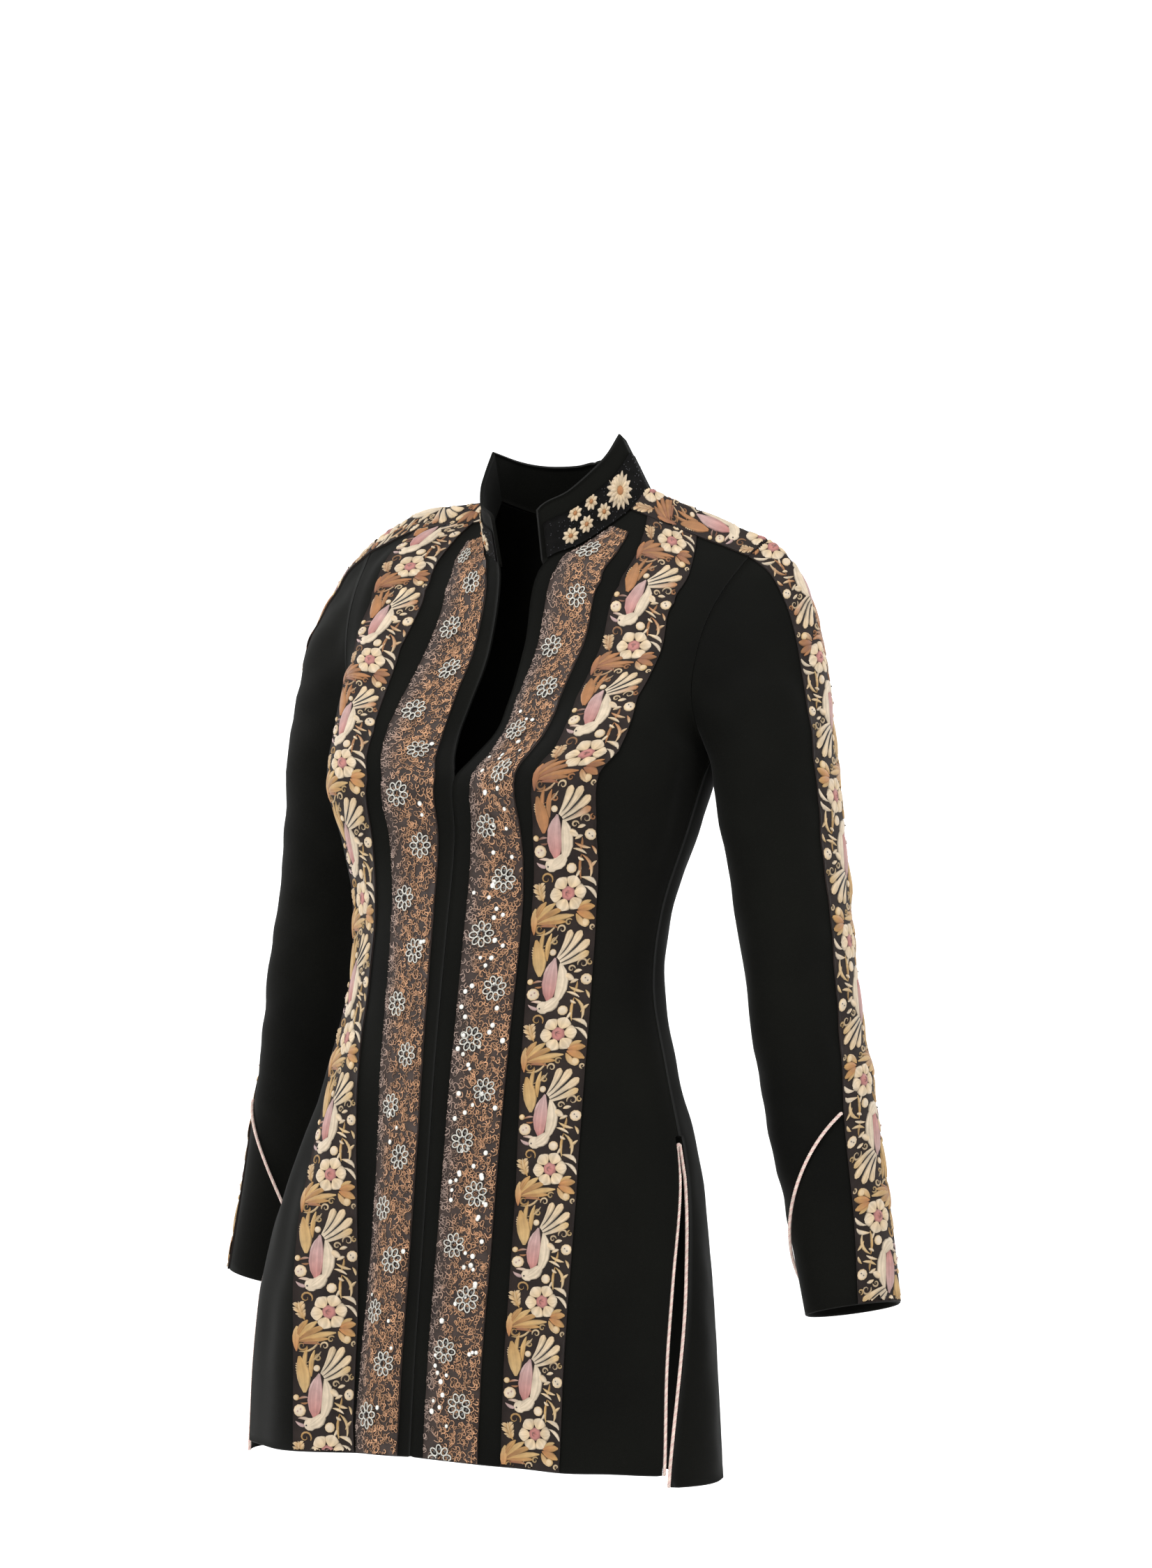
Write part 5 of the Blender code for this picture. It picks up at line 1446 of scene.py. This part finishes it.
def curl_motif(name, radius, degrees, reach):
    """A hooked bit of wire."""
    work = Work()
    angles = np.radians(np.linspace(0, degrees, 7))
    hook = np.stack([radius * np.cos(angles), radius * np.sin(angles)], axis=-1)
    tail = hook[-1] + np.array([-math.sin(angles[-1]), math.cos(angles[-1])]) * reach
    wire(work, np.concatenate([hook, [tail]]), HOOK_WIRE, "copper")
    return work.thing(name, looks["wire"])


def rosette_motif():
    """Eight loops of silver wire round an open middle."""
    work = Work()
    around_loop = np.linspace(0, 2 * math.pi, 11)
    for i in range(LOOPS):
        turn = 2 * math.pi * i / LOOPS
        x, y = LOOP_OUT + LOOP_LONG * np.cos(around_loop), LOOP_WIDE * np.sin(around_loop)
        path = np.stack([x * math.cos(turn) - y * math.sin(turn), x * math.sin(turn) + y * math.cos(turn),
                         np.full(11, 0.9)], axis=-1)
        wire(work, path, LOOP_WIRE, "silver", sides=5)
        dome(work, LOOP_OUT * math.cos(turn), LOOP_OUT * math.sin(turn), 1.2, "steel", height=0.8, sides=6)
    ring = np.stack([2.5 * np.cos(around_loop), 2.5 * np.sin(around_loop), np.full(11, 0.7)], axis=-1)
    wire(work, ring, RING_WIRE, "steel", sides=4)
    return work.thing("rosette", looks["wire"])


def sequin_motif():
    """A small bright disc."""
    work = Work()
    dome(work, 0, 0, 2.0, "white", height=0.7, sides=8, rim="silver")
    return work.thing("sequin", looks["wire"])


RIBBON_WIDE = 0.044
PURL_WARM, PURL_COOL = np.array([0.56, 0.31, 0.17]), np.array([0.38, 0.28, 0.235])
ROSETTES_ACROSS = (0.0145, 0.0290)    # they lie in a zigzag
SEQUINS = {"left": 95, "right": 14}
SEQUIN_TOP, SEQUIN_END, SEQUIN_SIDE = 0.17, 0.02, 0.003   # kept clear at the top, end and sides
rosette, sequin = rosette_motif(), sequin_motif()
hooks = [curl_motif("hook_small", 1.1, 230, 1.4), curl_motif("hook_large", 1.7, 170, 2.2)]
HOOK_DENSITY = (74000.0, 50000.0)
# rosettes are counted from the ribbon's top; a pin says how far down, in millimetres, a number lies
Pin = namedtuple("Pin", "number down")
PINS = {
    "left": (Pin(0, 30), Pin(1, 70), Pin(2, 113), Pin(9, 390), Pin(12, 499), Pin(18, 722)),
    "right": (Pin(0, 22), Pin(1, 56), Pin(2, 90), Pin(3, 130), Pin(10, 402), Pin(12, 476), Pin(18, 697)),
}
for wearer in ("left", "right"):
    grid, facing = band_grids[f"ribbon_{wearer}"]
    if wearer == "right":
        grid, facing = grid[:, ::-1], facing[:, ::-1]
    long = strip_length(grid)
    flat_quad = [(0, 0, 0), (RIBBON_WIDE, 0, 0), (RIBBON_WIDE, long, 0), (0, long, 0)]
    flat, faces, _ = joined([
        repeated("scatter", flat_quad, [(0, 1, 2, 3)], hook, looks["wire"], Density=HOOK_DENSITY[k],
                 Seed=21 + k + 5 * (wearer == "left"), Turn=2 * math.pi, Smallest=0.75, Largest=1.25)
        for k, hook in enumerate(hooks)])
    warmth = smooth_step((flat[:, 0] / RIBBON_WIDE - 0.02) / 0.40)[:, None]
    tints = PURL_COOL + (PURL_WARM - PURL_COOL) * warmth
    per_hook = len(hooks[0].data.vertices)
    shine = np.random.default_rng(61).uniform(0.45, 1.25, len(flat) // per_hook + 1)
    works = {"purl": (flat, faces, tints * shine[np.arange(len(flat)) // per_hook][:, None])}

    pins = PINS[wearer]
    downs = np.interp(np.arange(pins[-1].number + 1), [p.number for p in pins], [p.down for p in pins])
    spots = [(ROSETTES_ACROSS[number % 2], down * MILLI, 0.0002) for number, down in enumerate(downs)]
    works["rosettes"] = repeated("points", spots, [], rosette, looks["wire"], Seed=3, Turn=0.8,
                                 Smallest=0.95, Largest=1.06)
    few = np.random.default_rng(41 + (wearer == "left"))
    spots = [(few.uniform(SEQUIN_SIDE, RIBBON_WIDE - SEQUIN_SIDE), few.uniform(SEQUIN_TOP, long - SEQUIN_END),
              0.0006) for _ in range(SEQUINS[wearer])]
    works["sequins"] = repeated("points", spots, [], sequin, looks["wire"], Seed=4, Turn=6.28,
                                Smallest=0.7, Largest=1.15)
    for kind, (flat, faces, tints) in works.items():
        piece = laid(f"ribbon_{wearer}_{kind}", grid, facing, flat, faces, tints, looks["wire"], RIBBON_WIDE)
        sewn_on(piece, "ribbon", f"ribbon_{wearer}_ground")
for motif in (rosette, sequin, *hooks):
    bpy.data.objects.remove(motif, do_unlink=True)


# %% [markdown]
# ## Flowers on the collar
# A dark beaded net lies on each front end of the collar, with cream felt daisies and one larger
# sunflower of two layers of pointed petals.

# %% Collar flowers and beads
Bloom = namedtuple("Bloom", "along up radius petals width middle")
BLOOMS = (
    Bloom(20, 10.3, 6.5, 8, 4.1, "amber"),
    Bloom(34, 12.5, 6.5, 8, 4.1, "amber"),
    Bloom(27, 25.5, 6.5, 8, 4.1, "amber"),
    Bloom(51, 12.5, 6.5, 8, 4.1, "amber"),
    Bloom(43, 25.5, 6.5, 8, 4.1, "amber"),
    Bloom(71, 17.5, 13.5, 15, 4.9, "amber"),
)
BEADS = 150
for wearer in ("left", "right"):
    grid, facing = band_grids[f"collar_patch_{wearer}"]
    grid, facing = grid.transpose(1, 0, 2), facing.transpose(1, 0, 2)
    long, high = strip_length(grid), strip_length(grid.transpose(1, 0, 2))
    print(f"collar patch {wearer}: {long * 1000:.0f} x {high * 1000:.0f} mm")
    work = Work()
    for bloom in BLOOMS:
        for layer, (reach, turn) in enumerate(((1.0, 0.0), (0.72, 180 / bloom.petals))):
            if layer and bloom.radius < 8:
                continue
            for i in range(bloom.petals):
                angle = math.radians(turn + 360 * i / bloom.petals)
                way = np.array([math.cos(angle), math.sin(angle)])
                at = np.array([bloom.up, bloom.along])
                blade(work, [at + way * bloom.radius * 0.2, at + way * bloom.radius * reach], bloom.width,
                      "cream", "ivory", blunt=0.9, strands=2, height=1.0 + 0.7 * layer, rows=5)
        dome(work, bloom.up, bloom.along, bloom.radius * 0.30, bloom.middle, height=2.0, sides=10,
             rim="ochre")
    beads = np.random.default_rng(7)
    for _ in range(BEADS):
        dome(work, beads.uniform(1, high / MILLI - 1), beads.uniform(1, long / MILLI - 1), 0.5, "slate",
             height=0.6, sides=5)
    piece = laid(f"collar_patch_{wearer}_flowers", grid, facing, *work.flat(), looks["thread"], high,
                 lift=LAY_GAP + PATCH_CLOTH)
    sewn_on(piece, "patch", f"collar_patch_{wearer}_ground")


# %% [markdown]
# ## Floor, light and camera
# Black velvet needs broad soft light from several sides, or it turns into a flat hole. A large key
# light stands at the left, a weaker one at the right, and a strip behind picks out the edges. The
# backdrop is one pale sheet that curves up behind the jacket, far enough off to walk round it.

# %% The backdrop
TARGET = Vector((0.030, -0.04, -0.222))
AZIMUTH, ELEVATION, DISTANCE = math.radians(34), math.radians(-3), 2.8
FLOOR_Z, NEAR_END, BEND_START, BEND_RADIUS, TOP_Z, HALF_WIDE = -1.02, -3.0, 3.2, 0.8, 4.2, 4.5
profile = [(NEAR_END, FLOOR_Z), (BEND_START, FLOOR_Z)] + [
    (BEND_START + BEND_RADIUS * math.sin(a), FLOOR_Z + BEND_RADIUS - BEND_RADIUS * math.cos(a))
    for a in np.linspace(0.1, math.pi / 2, 12)
] + [(BEND_START + BEND_RADIUS, TOP_Z)]
points = [(side * math.cos(AZIMUTH) - deep * math.sin(AZIMUTH),
           side * math.sin(AZIMUTH) + deep * math.cos(AZIMUTH), height)
          for deep, height in profile for side in (-HALF_WIDE, HALF_WIDE)]
faces = [(2 * i, 2 * i + 1, 2 * i + 3, 2 * i + 2) for i in range(len(profile) - 1)]
paper = bpy.data.materials.new("pale_backdrop")
paper.use_nodes = True
for socket, value in (("Base Color", (0.86, 0.86, 0.86, 1)), ("Roughness", 0.9),
                      ("Emission Color", (1, 1, 1, 1)), ("Emission Strength", 0.6)):
    paper.node_tree.nodes["Principled BSDF"].inputs[socket].default_value = value
backdrop = mesh_piece("backdrop", points, faces, paper)

# %% Lights
def around(azimuth, elevation, distance):
    """A place round the jacket. Azimuth is from the front, towards the wearer's left."""
    return TARGET + distance * Vector((math.sin(azimuth) * math.cos(elevation),
                                       -math.cos(azimuth) * math.cos(elevation), math.sin(elevation)))


def soft_light(name, azimuth, elevation, distance, size, watts):
    """A square area light that faces the jacket."""
    lamp = bpy.data.lights.new(name, "AREA")
    lamp.shape, lamp.size, lamp.energy = "SQUARE", size, watts
    thing = bpy.data.objects.new(name, lamp)
    bpy.context.scene.collection.objects.link(thing)
    thing.location = around(math.radians(azimuth), math.radians(elevation), distance)
    thing.rotation_euler = (thing.location - TARGET).to_track_quat("Z", "Y").to_euler()


soft_light("key", -5, 35, 2.3, 1.5, 42)
soft_light("fill", 85, 20, 2.4, 1.6, 26)
soft_light("top", 30, 80, 1.9, 1.4, 16)
soft_light("edge_left", -80, 20, 2.0, 1.0, 16)
soft_light("edge_right", 150, 25, 2.0, 1.0, 14)
world = bpy.context.scene.world or bpy.data.worlds.new("studio")
bpy.context.scene.world = world
world.use_nodes = True
sky = world.node_tree.nodes.get("Background")
sky.inputs["Color"].default_value = (1, 1, 1, 1)
sky.inputs["Strength"].default_value = 0.40
bpy.context.scene.view_settings.view_transform = "Standard"

# %% The camera
FOCAL_PIXELS, FRAME_PIXELS = 5384.6, 2248
lens = bpy.data.cameras.new("camera")
lens.sensor_width, lens.sensor_fit = 36.0, "AUTO"
lens.lens = 36.0 * FOCAL_PIXELS / FRAME_PIXELS
lens.clip_start, lens.clip_end = 0.05, 60
camera = bpy.data.objects.new("camera", lens)
bpy.context.scene.collection.objects.link(camera)
camera.location = around(AZIMUTH, ELEVATION, DISTANCE)
camera.rotation_euler = (camera.location - TARGET).to_track_quat("Z", "Y").to_euler()
bpy.context.scene.camera = camera

# %% [markdown]
# ## Cut sizes of the cloth
# The size that each cloth piece was cut to is worked out again from its grid.

# %% Sheets, sizes and the end
for thing, grid, held, rests_on in sheets:
    wide, long, area = flat_size(grid)
